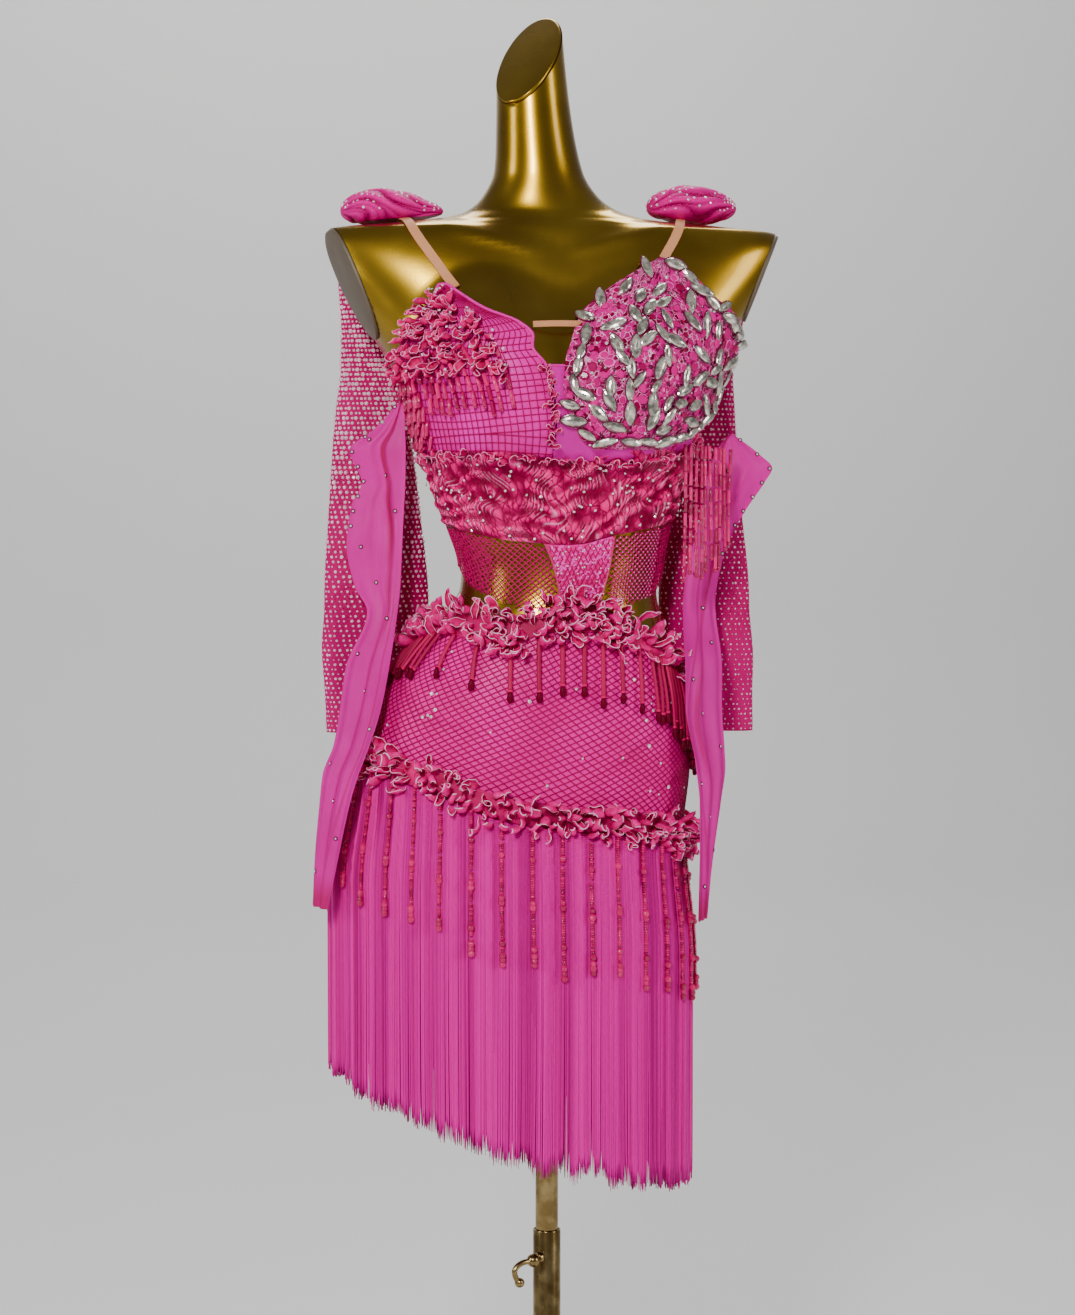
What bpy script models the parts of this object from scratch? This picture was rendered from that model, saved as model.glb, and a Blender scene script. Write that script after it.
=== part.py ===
"""Rumba dance dress on a limbless dress form with an adjustable pole stand.

Metres, +Z up.  The wearer's front is -Y and the wearer's right is -X.  The origin is the middle of
the base plate's underside, on the pole's axis.  Every cloth piece is a wall laid on, or hung from,
the level sections of the dress form, which one function works out from the table FORM_SECTIONS.
"""
import math

import bmesh
import bpy
import numpy as np
from mathutils import Matrix, Vector
from mathutils.bvhtree import BVHTree

# ---------------------------------------------------------------- driving dimensions (metres)
FORM_FOOT = 0.740               # underside of the dress form
FORM_ROWS = 44
FORM_COLUMNS = 44
EVEN_POWER = 1.12               # turns raised to this power space the form's columns evenly
BUST_ROWS = {"closer": 1.6, "height": 1.19, "reach": 0.07}  # rows lie closer round this height
SHARP_ANGLE = math.radians(40)
SKIN_GAP = 0.0021               # the first layer of cloth stands this far off the form
CLOTH = 0.0018                  # wall of a cloth panel
RUCHED_CLOTH = 0.0036           # wall of the gathered band
STONE_CLOTH = 0.0060            # wall of the stone-set cup
OVER_PANEL = 0.0050             # what lies on a panel starts this far off the form
SEAM = 0.0003                   # gap between pieces at a seam
SEAM_TURN = math.radians(0.09)  # the same gap as a turn about the form's middle
OVER_CUP = 0.0052               # what lies on a cup starts a little further off
TRIM_REACH = 0.0100             # thickness of a petal trim
TRIM_HEIGHT = 0.0280
UNDER_TRIM = 0.0032             # beads and fringe start this far below a trim
HALF_COLUMNS = 17               # points round half of the skirt
DROP_LIFT = 0.0068              # the waist trim's drops hang this far off the form
BEAD_WALL = 0.0030              # thickness of a layer of bead strands
FRINGE_WALL = 0.0050            # thickness of the chainette fringe
FRINGE_LIFT = 0.0054
SLEEVE_WALL = 0.0012
OVERLAY_WALL = 0.0012
STRAP_WIDTH = 0.0080
STRAP_WALL = 0.0012
CHEST_STRAP_WIDTH = 0.0055
PLATE_WALL = 0.0030             # arm plates and neck cap
PLATE_INSET = 0.0012

BASE_RADIUS = 0.180
BASE_HEIGHT = 0.009
BASE_EDGE = 0.002
HUB_RADIUS = 0.034
HUB_TOP = 0.052
HUB_SLEEVE = 0.006              # the hub's wall round the outer tube
TUBE_RADIUS = 0.01285           # outer tube
TUBE_BORE = 0.0109
TUBE_TOP = 0.448
TUBE_FLOOR = 0.004
TUBE_EDGE = 0.0007
MAST_RADIUS = 0.0106
MAST_FOOT = 0.280
MAST_WALL = 0.0015
SWIVEL_RADIUS = 0.045
SWIVEL_HEIGHT = 0.006
SWIVEL_EDGE = 0.001
CLAMP_HEIGHT = 0.4236
CLAMP_HEADING = math.radians(36.5)      # the screw points this far from the front to the right arm
CLAMP_BALL_REACH = 0.0248               # ball's middle, from the pole's axis
CLAMP_BALL_RADIUS = 0.0063
CLAMP_BAR_RADIUS = 0.0026
CLAMP_END_RADIUS = 0.0046
CLAMP_BAR_TURN = math.radians(27.6)     # the bar leaves the ball this far round from the screw
CLAMP_BAR = ((0.0, 0.0), (0.009, 0.0), (0.0165, 0.0022), (0.0205, 0.0075), (0.0190, 0.0135),
             (0.0150, 0.0185))          # along and down from the ball
SEAT_RADII = (0.0052, 0.0040)
SEAT_LENGTH = 0.0042

# Level sections of the dress form.
FORM_COLUMN_NAMES = ("height", "middle", "half_width", "front", "back", "squareness")
FORM_SECTIONS = np.array((
    (0.740, -0.0200, 0.1180, 0.0800, 0.0920, 2.30),
    (0.780, -0.0230, 0.1360, 0.0890, 0.1060, 2.30),
    (0.830, -0.0250, 0.1470, 0.0930, 0.1140, 2.30),
    (0.880, -0.0230, 0.1510, 0.0940, 0.1160, 2.25),
    (0.938, -0.0150, 0.1410, 0.0940, 0.1080, 2.20),
    (0.984, -0.0060, 0.1210, 0.0900, 0.0940, 2.15),
    (1.021, 0.0040, 0.1005, 0.0840, 0.0840, 2.10),
    (1.046, 0.0105, 0.0905, 0.0810, 0.0800, 2.10),
    (1.070, 0.0130, 0.0925, 0.0800, 0.0800, 2.10),
    (1.100, 0.0110, 0.1000, 0.0820, 0.0830, 2.10),
    (1.140, 0.0085, 0.1120, 0.0860, 0.0880, 2.15),
    (1.180, 0.0070, 0.1230, 0.0890, 0.0930, 2.20),
    (1.220, 0.0060, 0.1340, 0.0900, 0.0960, 2.30),
    (1.265, 0.0050, 0.1580, 0.0850, 0.0970, 2.50),
    (1.300, 0.0050, 0.1810, 0.0770, 0.0940, 2.60),
    (1.335, 0.0050, 0.2040, 0.0670, 0.0850, 2.60),
    (1.358, 0.0050, 0.2140, 0.0580, 0.0730, 2.50),
    (1.370, 0.0050, 0.2070, 0.0520, 0.0630, 2.30),
    (1.3755, 0.0040, 0.1600, 0.0480, 0.0560, 2.10),
    (1.380, 0.0010, 0.1100, 0.0450, 0.0520, 2.00),
    (1.388, -0.0030, 0.0720, 0.0420, 0.0480, 2.00),
    (1.402, -0.0060, 0.0530, 0.0400, 0.0450, 2.00),
    (1.425, -0.0080, 0.0405, 0.0370, 0.0410, 2.00),
    (1.465, -0.0115, 0.0350, 0.0340, 0.0370, 2.00),
    (1.515, -0.0145, 0.0315, 0.0310, 0.0330, 2.00),
    (1.570, -0.0170, 0.0290, 0.0290, 0.0300, 2.00),
    (1.610, -0.0190, 0.0275, 0.0280, 0.0280, 2.00),
))
BUST = {"spread": 0.070, "height": 1.216, "reach_x": 0.086, "reach_up": 0.122, "reach_down": 0.078,
        "rise": 0.040, "valley": 0.022}

# Flat cuts of the form: a point on the plane, the way it faces, the height above which it cuts,
# and the side it is kept to (-1 right, 1 left, 0 both).
CUT_PLANES = {
    "arm_plate_right": ((-0.1970, 0.0, 1.3700), (-0.920, -0.160, -0.360), 1.236, -1),
    "arm_plate_left": ((0.2120, 0.0, 1.3700), (0.920, -0.160, -0.360), 1.236, 1),
    "neck_cap": ((-0.0155, 0.0, 1.5255), (-0.539, -0.614, 0.579), 1.410, 0),
}

# Slanted edge lines round the dress: turn in degrees (0 front, 90 the left arm), height.
HIP_LINE = np.array((
    (-180, 0.862), (-150, 0.878), (-120, 0.892), (-90, 0.899), (-60, 0.892), (-33, 0.878),
    (-8, 0.853), (10, 0.842), (30, 0.8365), (45, 0.830), (70, 0.820), (90, 0.816), (120, 0.822),
    (150, 0.842), (180, 0.862)))
WAIST_LINE = np.array((
    (-180, 1.000), (-140, 1.004), (-90, 1.008), (-60, 1.018), (-35, 1.012), (-20, 1.008),
    (-3, 1.021), (15, 1.020), (30, 1.012), (46, 1.000), (60, 0.984), (75, 0.966), (90, 0.956),
    (120, 0.966), (150, 0.985), (180, 1.000)))
BAND_TOP = np.array((
    (-90, 1.1630), (-31, 1.1650), (-12, 1.1620), (14, 1.1590), (38, 1.1635), (60, 1.1690),
    (90, 1.1800)))
BAND_FOOT = np.array((
    (-180, 1.106), (-90, 1.104), (-51, 1.095), (-25, 1.089), (0, 1.0865), (20, 1.094),
    (90, 1.108), (180, 1.106)))
MIDRIFF_FOOT = np.array((
    (-180, 1.032), (-160, 1.034), (-130, 1.050), (-90, 1.072), (-65, 1.054), (-38, 1.042),
    (-20, 1.0350), (-12, 1.0345), (20, 1.0345), (35, 1.037), (58, 1.045), (90, 1.062),
    (130, 1.050), (160, 1.034), (180, 1.032)))
BACK_TOP = np.array(((90, 1.200), (115, 1.186), (150, 1.160), (180, 1.153), (210, 1.160),
                     (245, 1.186), (270, 1.200)))
DROP_LENGTH = np.array(((-180, 0.036), (-90, 0.036), (-50, 0.037), (-18, 0.043), (-8, 0.053),
                        (2, 0.058), (10, 0.061), (30, 0.058), (50, 0.060), (62, 0.066), (90, 0.066),
                        (120, 0.040), (180, 0.036)))
BEAD_LENGTH = np.array(((-180, 0.112), (-90, 0.098), (0, 0.126), (90, 0.128), (180, 0.112)))
FRINGE_FLARE = np.array(((-180, 0.006), (-90, 0.019), (-40, 0.008), (0, 0.005), (90, 0.009),
                         (180, 0.006)))
FLARE_DEPTH = 0.10              # the fringe flares within this much of its top
FLARE_STEPS = (0.0, 0.025, 0.050, 0.075, 0.093)
# Hem of the fringe: height at the front and back middle, and its fall from right to left.
HEM_FRONT = 0.538
HEM_BACK = 0.556
HEM_FALL = 0.350
HEM_BOW = np.array(((-0.200, 0.023), (-0.187, 0.020), (-0.177, 0.0095), (-0.165, 0.005), (-0.142, 0.002),
                    (-0.097, -0.0045), (-0.042, -0.0055), (0.003, -0.001), (0.030, 0.002), (0.070, 0.0065),
                    (0.120, 0.0088), (0.160, 0.012)))
HIP_MIDDLE = -0.023             # middle of the form at the hips

# Cups and what lies on them: height, turn of the outer edge, turn of the inner edge (degrees).
CUP_RIGHT = np.array((
    (1.168, -89.7, -5.6), (1.192, -89.7, -4.4), (1.210, -89.0, -4.4), (1.227, -84.0, -4.5),
    (1.244, -75.0, -5.4), (1.258, -63.0, -7.8), (1.270, -53.5, -6.9), (1.281, -45.0, -9.6),
    (1.293, -37.3, -17.5), (1.305, -31.7, -22.0), (1.316, -28.0, -25.2)))
CUP_LEFT = np.array((
    (1.170, 36.0, 9.0), (1.180, 55.6, 3.8), (1.200, 71.8, -0.7), (1.2235, 81.6, -1.8),
    (1.2375, 84.0, -1.1), (1.262, 78.9, 0.4), (1.2906, 58.1, 2.8), (1.309, 40.7, 6.8),
    (1.331, 28.1, 14.0), (1.342, 22.6, 19.0)))
CUP_RUFFLE = np.array((
    (1.239, -74.0, -17.0), (1.252, -67.0, -18.0), (1.268, -55.0, -19.5), (1.285, -43.0, -20.0),
    (1.300, -34.0, -22.0), (1.311, -29.5, -25.5)))
CUP_BEADS = np.array(((1.188, -56.0, -24.0), (1.210, -58.0, -17.5), (1.235, -60.0, -17.5)))
SIDE_BEADS = np.array(((1.166, -87.0, -66.0), (1.200, -87.0, -64.0), (1.234, -82.0, -63.0)))
CUP_BEND_TOP = 1.215            # below this the right cup's rows bend to follow the band
GUSSET_FOOT = 1.166
GUSSET_TOP = 1.243
GUSSET_LIFT = 0.0030            # the gusset spans the dip between the cups
GUSSET_GAPS = (0.5, 1.0)        # turns between the gusset and the right and left cups
CUP_LEFT_STAND = 0.009          # the stone-set cup's outer edge stands this much further off
CUP_LEFT_REACH = math.radians(84)

# Sleeves, from the shoulder down: height, x and y of the middle, half width, half depth, turn.
SLEEVE_COLUMN_NAMES = ("height", "x", "y", "half_width", "half_depth", "turn")
SLEEVE_RIGHT = np.array((
    (1.378, -0.1500, 0.0660, 0.0340, 0.0092, 0.0),
    (1.355, -0.1540, 0.0796, 0.0350, 0.0102, 0.0),
    (1.330, -0.1545, 0.0890, 0.0340, 0.0112, 0.0),
    (1.290, -0.1550, 0.0860, 0.0310, 0.0120, 0.0),
    (1.250, -0.1580, 0.0720, 0.0290, 0.0140, 0.0),
    (1.214, -0.1580, 0.0580, 0.0340, 0.0160, 5.0),
    (1.122, -0.1565, 0.0420, 0.0435, 0.0180, 8.0),
    (1.030, -0.1545, 0.0450, 0.0505, 0.0190, 10.0),
    (0.984, -0.1640, 0.0620, 0.0440, 0.0190, 18.0),
    (0.945, -0.1660, 0.0850, 0.0400, 0.0185, 26.0),
    (0.907, -0.1680, 0.1020, 0.0370, 0.0180, 32.0)))
SLEEVE_LEFT = np.array((
    (1.378, 0.1580, 0.0660, 0.0340, 0.0092, 0.0),
    (1.355, 0.1620, 0.0796, 0.0380, 0.0102, 0.0),
    (1.330, 0.1640, 0.0890, 0.0400, 0.0112, 0.0),
    (1.290, 0.1620, 0.0890, 0.0370, 0.0120, 0.0),
    (1.250, 0.1570, 0.0820, 0.0320, 0.0130, 0.0),
    (1.214, 0.1570, 0.0680, 0.0310, 0.0150, -5.0),
    (1.122, 0.1540, 0.0500, 0.0370, 0.0175, -8.0),
    (1.030, 0.1540, 0.0440, 0.0440, 0.0190, -10.0),
    (0.984, 0.1600, 0.0500, 0.0430, 0.0190, -14.0),
    (0.945, 0.1645, 0.0640, 0.0410, 0.0180, -18.0),
    (0.907, 0.1690, 0.0780, 0.0400, 0.0180, -22.0)))
SLEEVE_SQUARENESS = 2.3
# Name, foot, top and rows of each length.
SLEEVE_LENGTHS = (("sleeve_top", 1.214, 1.378, 5), ("sleeve", 0.984, 1.214, 4),
                  ("sleeve_cuff", 0.907, 0.984, 3))

# Satin overlays: height, x and y of the outer edge, x and y of the inner edge.
OVERLAY_COLUMN_NAMES = ("height", "outer_x", "outer_y", "inner_x", "inner_y")
OVERLAY_RIGHT = np.array((
    (1.216, -0.1350, -0.004, -0.1315, -0.010),
    (1.190, -0.1590, -0.002, -0.1310, -0.012),
    (1.172, -0.1810, 0.000, -0.1305, -0.014),
    (1.142, -0.1700, 0.000, -0.1310, -0.014),
    (1.122, -0.1790, 0.000, -0.1320, -0.014),
    (1.085, -0.1840, 0.000, -0.1340, -0.016),
    (1.048, -0.1770, -0.002, -0.1360, -0.018),
    (1.025, -0.1660, -0.005, -0.1390, -0.022),
    (0.975, -0.1860, -0.012, -0.1480, -0.044),
    (0.938, -0.1920, -0.024, -0.1570, -0.064),
    (0.906, -0.1980, -0.034, -0.1680, -0.074),
    (0.880, -0.2080, -0.038, -0.1780, -0.078),
    (0.855, -0.2110, -0.038, -0.1850, -0.078),
    (0.800, -0.2160, -0.034, -0.1960, -0.074),
    (0.760, -0.2180, -0.032, -0.2030, -0.066)))
OVERLAY_LEFT = np.array((
    (1.187, 0.1730, -0.002, 0.1680, -0.006),
    (1.168, 0.1985, 0.000, 0.1540, -0.010),
    (1.156, 0.2105, 0.001, 0.1500, -0.011),
    (1.144, 0.2040, 0.000, 0.1460, -0.012),
    (1.116, 0.1850, 0.000, 0.1420, -0.013),
    (1.092, 0.1715, -0.001, 0.1360, -0.014),
    (1.073, 0.1645, -0.002, 0.1300, -0.016),
    (1.030, 0.1570, -0.005, 0.1225, -0.027),
    (0.975, 0.1610, -0.020, 0.1185, -0.066),
    (0.938, 0.1600, -0.026, 0.1180, -0.072),
    (0.883, 0.1620, -0.032, 0.1275, -0.072),
    (0.855, 0.1580, -0.036, 0.1305, -0.072),
    (0.803, 0.1500, -0.040, 0.1310, -0.069),
    (0.744, 0.1440, -0.040, 0.1310, -0.066)))
OVERLAY_FOLDS = 2.5             # waves across a strip
OVERLAY_FOLD_DEPTH = 0.0030
OVERLAY_FOLD_DRIFT = 1.3        # radians that the waves move across between top and foot
OVERLAY_FOLD_WIDTH = 0.04       # a narrower strip has shallower waves

UNDERARM = {"top": 1.166, "foot": 1.042, "inner": (0.114, -0.0800), "outer": (0.164, -0.0370)}

# Places on the form that a strap is laid over: x, y, height.
STRAP_RIGHT = ((-0.0965, -0.074, 1.3230), (-0.109, -0.068, 1.342), (-0.123, -0.052, 1.363),
               (-0.130, -0.030, 1.374), (-0.132, 0.000, 1.377), (-0.128, 0.035, 1.372),
               (-0.118, 0.068, 1.345), (-0.104, 0.085, 1.300), (-0.086, 0.092, 1.250),
               (-0.070, 0.092, 1.200), (-0.062, 0.090, 1.1665))
STRAP_LEFT = ((0.1020, -0.062, 1.3490), (0.110, -0.055, 1.362), (0.118, -0.030, 1.375),
              (0.122, 0.000, 1.378), (0.122, 0.035, 1.373), (0.114, 0.068, 1.345),
              (0.102, 0.085, 1.300), (0.088, 0.092, 1.250), (0.076, 0.092, 1.200),
              (0.070, 0.090, 1.1665))
CHEST_STRAP = ((-6.2, 1.2790), (0.2, 1.2800))   # turn in degrees and height of each end
CHEST_STRAP_LIFT = 0.0050
ROLLS = {"roll_right": (-0.1465, 0.0060, 1.3900), "roll_left": (0.1340, 0.0060, 1.3960)}
ROLL_HALF = (0.0420, 0.0300, 0.0175)
ROLL_LUMPS = ((0.07, 3.1, 2.2, 0.0), (0.05, -4.0, 5.0, 1.0))   # size, rate along x and y, start
ROLL_GAP = 0.0034

# Colours: red, green, blue, metallic, roughness.
FINISHES = {
    "gold paint": (0.55, 0.40, 0.08, 0.9, 0.30),
    "taupe plate": (0.16, 0.12, 0.08, 0.1, 0.60),
    "antique brass": (0.45, 0.33, 0.14, 1.0, 0.30),
    "hot pink satin": (0.95, 0.04, 0.40, 0.0, 0.40),
    "deep pink net": (0.72, 0.01, 0.24, 0.0, 0.50),
    "pink petals": (0.80, 0.02, 0.26, 0.1, 0.25),
    "pink fringe": (0.98, 0.05, 0.42, 0.0, 0.45),
    "pink beads": (0.60, 0.01, 0.16, 0.2, 0.20),
    "silver stones": (0.75, 0.68, 0.70, 0.6, 0.15),
    "nude elastic": (0.80, 0.50, 0.36, 0.0, 0.55),
}


# ---------------------------------------------------------------- curves and sections
def smooth(places, values, at):
    """Cubic curve through a table that never overshoots it: slopes are harmonic means."""
    places = np.asarray(places, float)
    values = np.asarray(values, float)
    at = np.clip(np.asarray(at, float), places[0], places[-1])
    steps = np.diff(places)
    rates = np.diff(values) / steps
    slopes = np.zeros(len(places))
    same_way = rates[:-1] * rates[1:] > 0
    left, right = rates[:-1][same_way], rates[1:][same_way]
    slopes[1:-1][same_way] = 2 * left * right / (left + right)
    slopes[0], slopes[-1] = rates[0], rates[-1]
    cell = np.clip(np.searchsorted(places, at, side="right") - 1, 0, len(steps) - 1)
    step = steps[cell]
    t = (at - places[cell]) / step
    return ((2 * t**3 - 3 * t**2 + 1) * values[cell] + (t**3 - 2 * t**2 + t) * step * slopes[cell]
            + (3 * t**2 - 2 * t**3) * values[cell + 1] + (t**3 - t**2) * step * slopes[cell + 1])


def column(table, names, name, at):
    """One named column of a table as a smooth curve of its first column."""
    return smooth(table[:, 0], table[:, names.index(name)], at)


def edge_line(table, turns):
    """Height of a slanted edge line at the given turns, in radians."""
    return smooth(table[:, 0], table[:, 1], np.degrees(turns))


def power(value, exponent):
    """Power that keeps the sign."""
    return np.sign(value) * np.abs(value) ** exponent


def on_form(turns, heights, lift=0.0):
    """Points of the form's surface, pushed out level by lift.

    A level section is an oval of its own half width, front and back depth and squareness; the
    front carries two soft rises for the bust.
    """
    turns, heights = np.broadcast_arrays(np.asarray(turns, float), np.asarray(heights, float))
    section = {name: column(FORM_SECTIONS, FORM_COLUMN_NAMES, name, heights)
               for name in FORM_COLUMN_NAMES[1:]}
    exponent = 2 / section["squareness"]
    ahead = np.cos(turns)
    depth = np.where(ahead > 0, section["front"], section["back"]) + lift
    across = power(np.sin(turns), exponent)
    x = section["middle"] + (section["half_width"] + lift) * across
    y = -depth * power(ahead, exponent)
    side = np.hypot(section["half_width"] * across, BUST["valley"]) - BUST["spread"]
    side = side / BUST["reach_x"]
    rise = heights - BUST["height"]
    rise = rise / np.where(rise > 0, BUST["reach_up"], BUST["reach_down"])
    swell = np.clip(1 - side**2 - rise**2, 0, 1)
    swell = swell**2 * (3 - 2 * swell)
    y = y - BUST["rise"] * swell * np.clip(ahead, 0, 1) ** 0.5
    return np.stack((x, y, heights), axis=-1)


def level_outward(turns, heights, lift=0.0):
    """Level unit vectors that point away from the form, square to its section."""
    nudge = 0.01
    along = on_form(turns + nudge, heights, lift) - on_form(turns - nudge, heights, lift)
    outward = np.stack((along[..., 1], -along[..., 0], np.zeros(along.shape[:-1])), axis=-1)
    return outward / np.linalg.norm(outward, axis=-1, keepdims=True)


def reshape_turns(turns, exponent):
    """Bend turns (radians) within each quarter: the tangent is raised to a power."""
    quarter = np.floor(turns / (math.pi / 2) + 1e-9)
    within = np.clip(turns - quarter * math.pi / 2, 0, math.pi / 2)
    bent = np.arctan2(np.sin(within) ** exponent, np.cos(within) ** exponent)
    return quarter * math.pi / 2 + bent


def even_turns(start, stop, count):
    """Turns from start to stop (degrees) that lie evenly along the form's sections."""
    first, last = reshape_turns(np.radians((start, stop)), 1 / EVEN_POWER)
    return reshape_turns(np.linspace(first, last, count), EVEN_POWER)


def wrap_turn(turns):
    """The same turns between -180 and 180 degrees."""
    return (turns + math.pi) % (2 * math.pi) - math.pi


# ---------------------------------------------------------------- objects
def clear_scene():
    for item in list(bpy.data.objects):
        bpy.data.objects.remove(item, do_unlink=True)


def new_collection(title):
    group = bpy.data.collections.new(title)
    bpy.context.scene.collection.children.link(group)
    return group


def finish(name):
    """Principled material of a named finish."""
    material = bpy.data.materials.get(name)
    if material is None:
        red, green, blue, metallic, roughness = FINISHES[name]
        material = bpy.data.materials.new(name)
        material.use_nodes = True
        shader = material.node_tree.nodes["Principled BSDF"]
        shader.inputs["Base Color"].default_value = (red, green, blue, 1)
        shader.inputs["Metallic"].default_value = metallic
        shader.inputs["Roughness"].default_value = roughness
        material.diffuse_color = (red, green, blue, 1)
    return material


def add_object(name, mesh, finish_name, rounded=True):
    """Link a mesh as a named object with its finish."""
    item = bpy.data.objects.new(name, mesh)
    COLLECTION.objects.link(item)
    mesh.materials.clear()
    mesh.materials.append(finish(finish_name))
    if rounded and isinstance(mesh, bpy.types.Mesh):
        mesh.shade_smooth()
        mesh.set_sharp_from_angle(angle=SHARP_ANGLE)
    return item


def grid_faces(rows, columns, closed):
    """Quads of a grid of points, row by row; a closed grid joins its last column to the first."""
    last = columns if closed else columns - 1
    row, start = np.meshgrid(np.arange(rows - 1), np.arange(last), indexing="ij")
    stop = (start + 1) % columns
    lower, upper = row * columns, (row + 1) * columns
    return np.stack((lower + start, lower + stop, upper + stop, upper + start), axis=-1).reshape(-1, 4)


def grid_mesh(name, points, closed=False):
    rows, columns = points.shape[:2]
    mesh = bpy.data.meshes.new(name)
    mesh.from_pydata(points.reshape(-1, 3).tolist(), [], grid_faces(rows, columns, closed).tolist())
    return mesh


def wall_object(name, points, wall, finish_name, closed=False):
    """A wall of cloth: an open grid of points, thickened outwards."""
    item = add_object(name, grid_mesh(name, points, closed), finish_name)
    thicken = item.modifiers.new("wall", "SOLIDIFY")
    thicken.thickness = wall
    thicken.offset = 1.0
    return item


def solid_from_bmesh(name, bm, finish_name):
    bmesh.ops.recalc_face_normals(bm, faces=bm.faces)
    mesh = bpy.data.meshes.new(name)
    bm.to_mesh(mesh)
    bm.free()
    return add_object(name, mesh, finish_name)


def turned_object(name, profile, finish_name, steps=40):
    """A turned piece: its profile (radius, height) runs down the outside, then up the inside."""
    mesh = bpy.data.meshes.new(name)
    mesh.from_pydata([(radius, 0.0, height) for radius, height in profile],
                     [(k, k + 1) for k in range(len(profile) - 1)], [])
    item = add_object(name, mesh, finish_name, rounded=False)
    screw = item.modifiers.new("turn", "SCREW")
    screw.steps = steps
    screw.render_steps = steps
    screw.use_merge_vertices = True
    screw.merge_threshold = 0.0001
    screw.use_smooth_shade = True
    return item


# ---------------------------------------------------------------- dress form
def form_rows():
    """Heights of the form's rows, spaced along its side outline and closer over the bust."""
    heights = np.linspace(FORM_FOOT, FORM_SECTIONS[-1, 0], 1200)
    widths = column(FORM_SECTIONS, FORM_COLUMN_NAMES, "half_width", heights)
    from_bust = (heights[1:] - BUST_ROWS["height"]) / BUST_ROWS["reach"]
    closer = 1 + BUST_ROWS["closer"] * np.exp(-from_bust**2)
    run = np.concatenate(([0.0], np.cumsum(np.hypot(np.diff(heights), np.diff(widths)) * closer)))
    return np.interp(np.linspace(0, run[-1], FORM_ROWS), run, heights)


def cut_flat(bm, place, facing, floor, side):
    """Cut the form with a plane, close it, and return the flat face's corners."""
    faces = {face for face in bm.faces
             if all(corner.co.z > floor and corner.co.x * side >= 0 for corner in face.verts)}
    edges = {edge for face in faces for edge in face.edges}
    corners = {corner for face in faces for corner in face.verts}
    cut = bmesh.ops.bisect_plane(bm, geom=[*corners, *edges, *faces], plane_co=place,
                                 plane_no=facing, clear_outer=True, dist=1e-6)
    rim = [part for part in cut["geom_cut"] if isinstance(part, bmesh.types.BMEdge)]
    filled = bmesh.ops.contextual_create(bm, geom=rim)
    face = filled["faces"][0]
    return [corner.co.copy() for corner in face.verts]


def plate_from_outline(name, outline, facing, finish_name):
    """A flat plate on a cut: the cut's outline, drawn in, lifted by a seam and thickened."""
    facing = facing.normalized()
    middle = sum(outline, Vector()) / len(outline)
    inner = [middle + (corner - middle) * (1 - PLATE_INSET / (corner - middle).length)
             for corner in outline]
    bm = bmesh.new()
    corners = [bm.verts.new(corner + facing * SEAM) for corner in inner]
    face = bm.faces.new(corners)
    lifted = bmesh.ops.extrude_face_region(bm, geom=[face])
    moved = [part for part in lifted["geom"] if isinstance(part, bmesh.types.BMVert)]
    bmesh.ops.translate(bm, verts=moved, vec=facing * PLATE_WALL)
    return solid_from_bmesh(name, bm, finish_name)


def build_form():
    """The limbless form, its arm plates and the cap of its slanted neck cut."""
    turns = even_turns(-180, 180, FORM_COLUMNS + 1)[:-1]
    points = on_form(turns[None, :], form_rows()[:, None])
    bm = bmesh.new()
    bm.from_mesh(grid_mesh("rows", points, closed=True))
    bmesh.ops.holes_fill(bm, edges=[edge for edge in bm.edges if edge.is_boundary], sides=0)
    outlines = {}
    for name, (place, facing, floor, side) in CUT_PLANES.items():
        outlines[name] = cut_flat(bm, place, facing, floor, side)
    form = solid_from_bmesh("dress_form", bm, "gold paint")
    for name, outline in outlines.items():
        shade = "gold paint" if name == "neck_cap" else "taupe plate"
        plate_from_outline(name, outline, Vector(CUT_PLANES[name][1]), shade)
    return form


# ---------------------------------------------------------------- cloth laid on the form
def panel(name, start, stop, top, foot, lift, wall, finish_name, columns, rows):
    """A wall between two turns (degrees) and two edge lines (functions of the turns)."""
    turns = even_turns(start, stop, columns)
    turns[0] += SEAM_TURN
    turns[-1] -= SEAM_TURN
    share = np.linspace(0, 1, rows)[:, None]
    heights = foot(turns) * (1 - share) + top(turns) * share
    return wall_object(name, on_form(turns[None, :], heights, lift), wall, finish_name)


def outline_grid(table, columns, rows):
    """Turns and heights of a patch whose two edges are columns of a table, by height."""
    heights = np.linspace(table[0, 0], table[-1, 0], rows)
    outer = np.radians(smooth(table[:, 0], table[:, 1], heights))
    inner = np.radians(smooth(table[:, 0], table[:, 2], heights))
    share = np.linspace(0, 1, columns)[None, :]
    turns = outer[:, None] * (1 - share) + inner[:, None] * share
    return turns, np.broadcast_to(heights[:, None], turns.shape)


def follow_band_top(turns, heights, foot):
    """Bend a cup's lowest rows so that they run along the band's top edge."""
    gap = edge_line(BAND_TOP, turns) + 3 * SEAM - foot
    fade = np.clip((CUP_BEND_TOP - heights) / (CUP_BEND_TOP - foot), 0, 1) ** 1.5
    return heights + gap * fade


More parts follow.
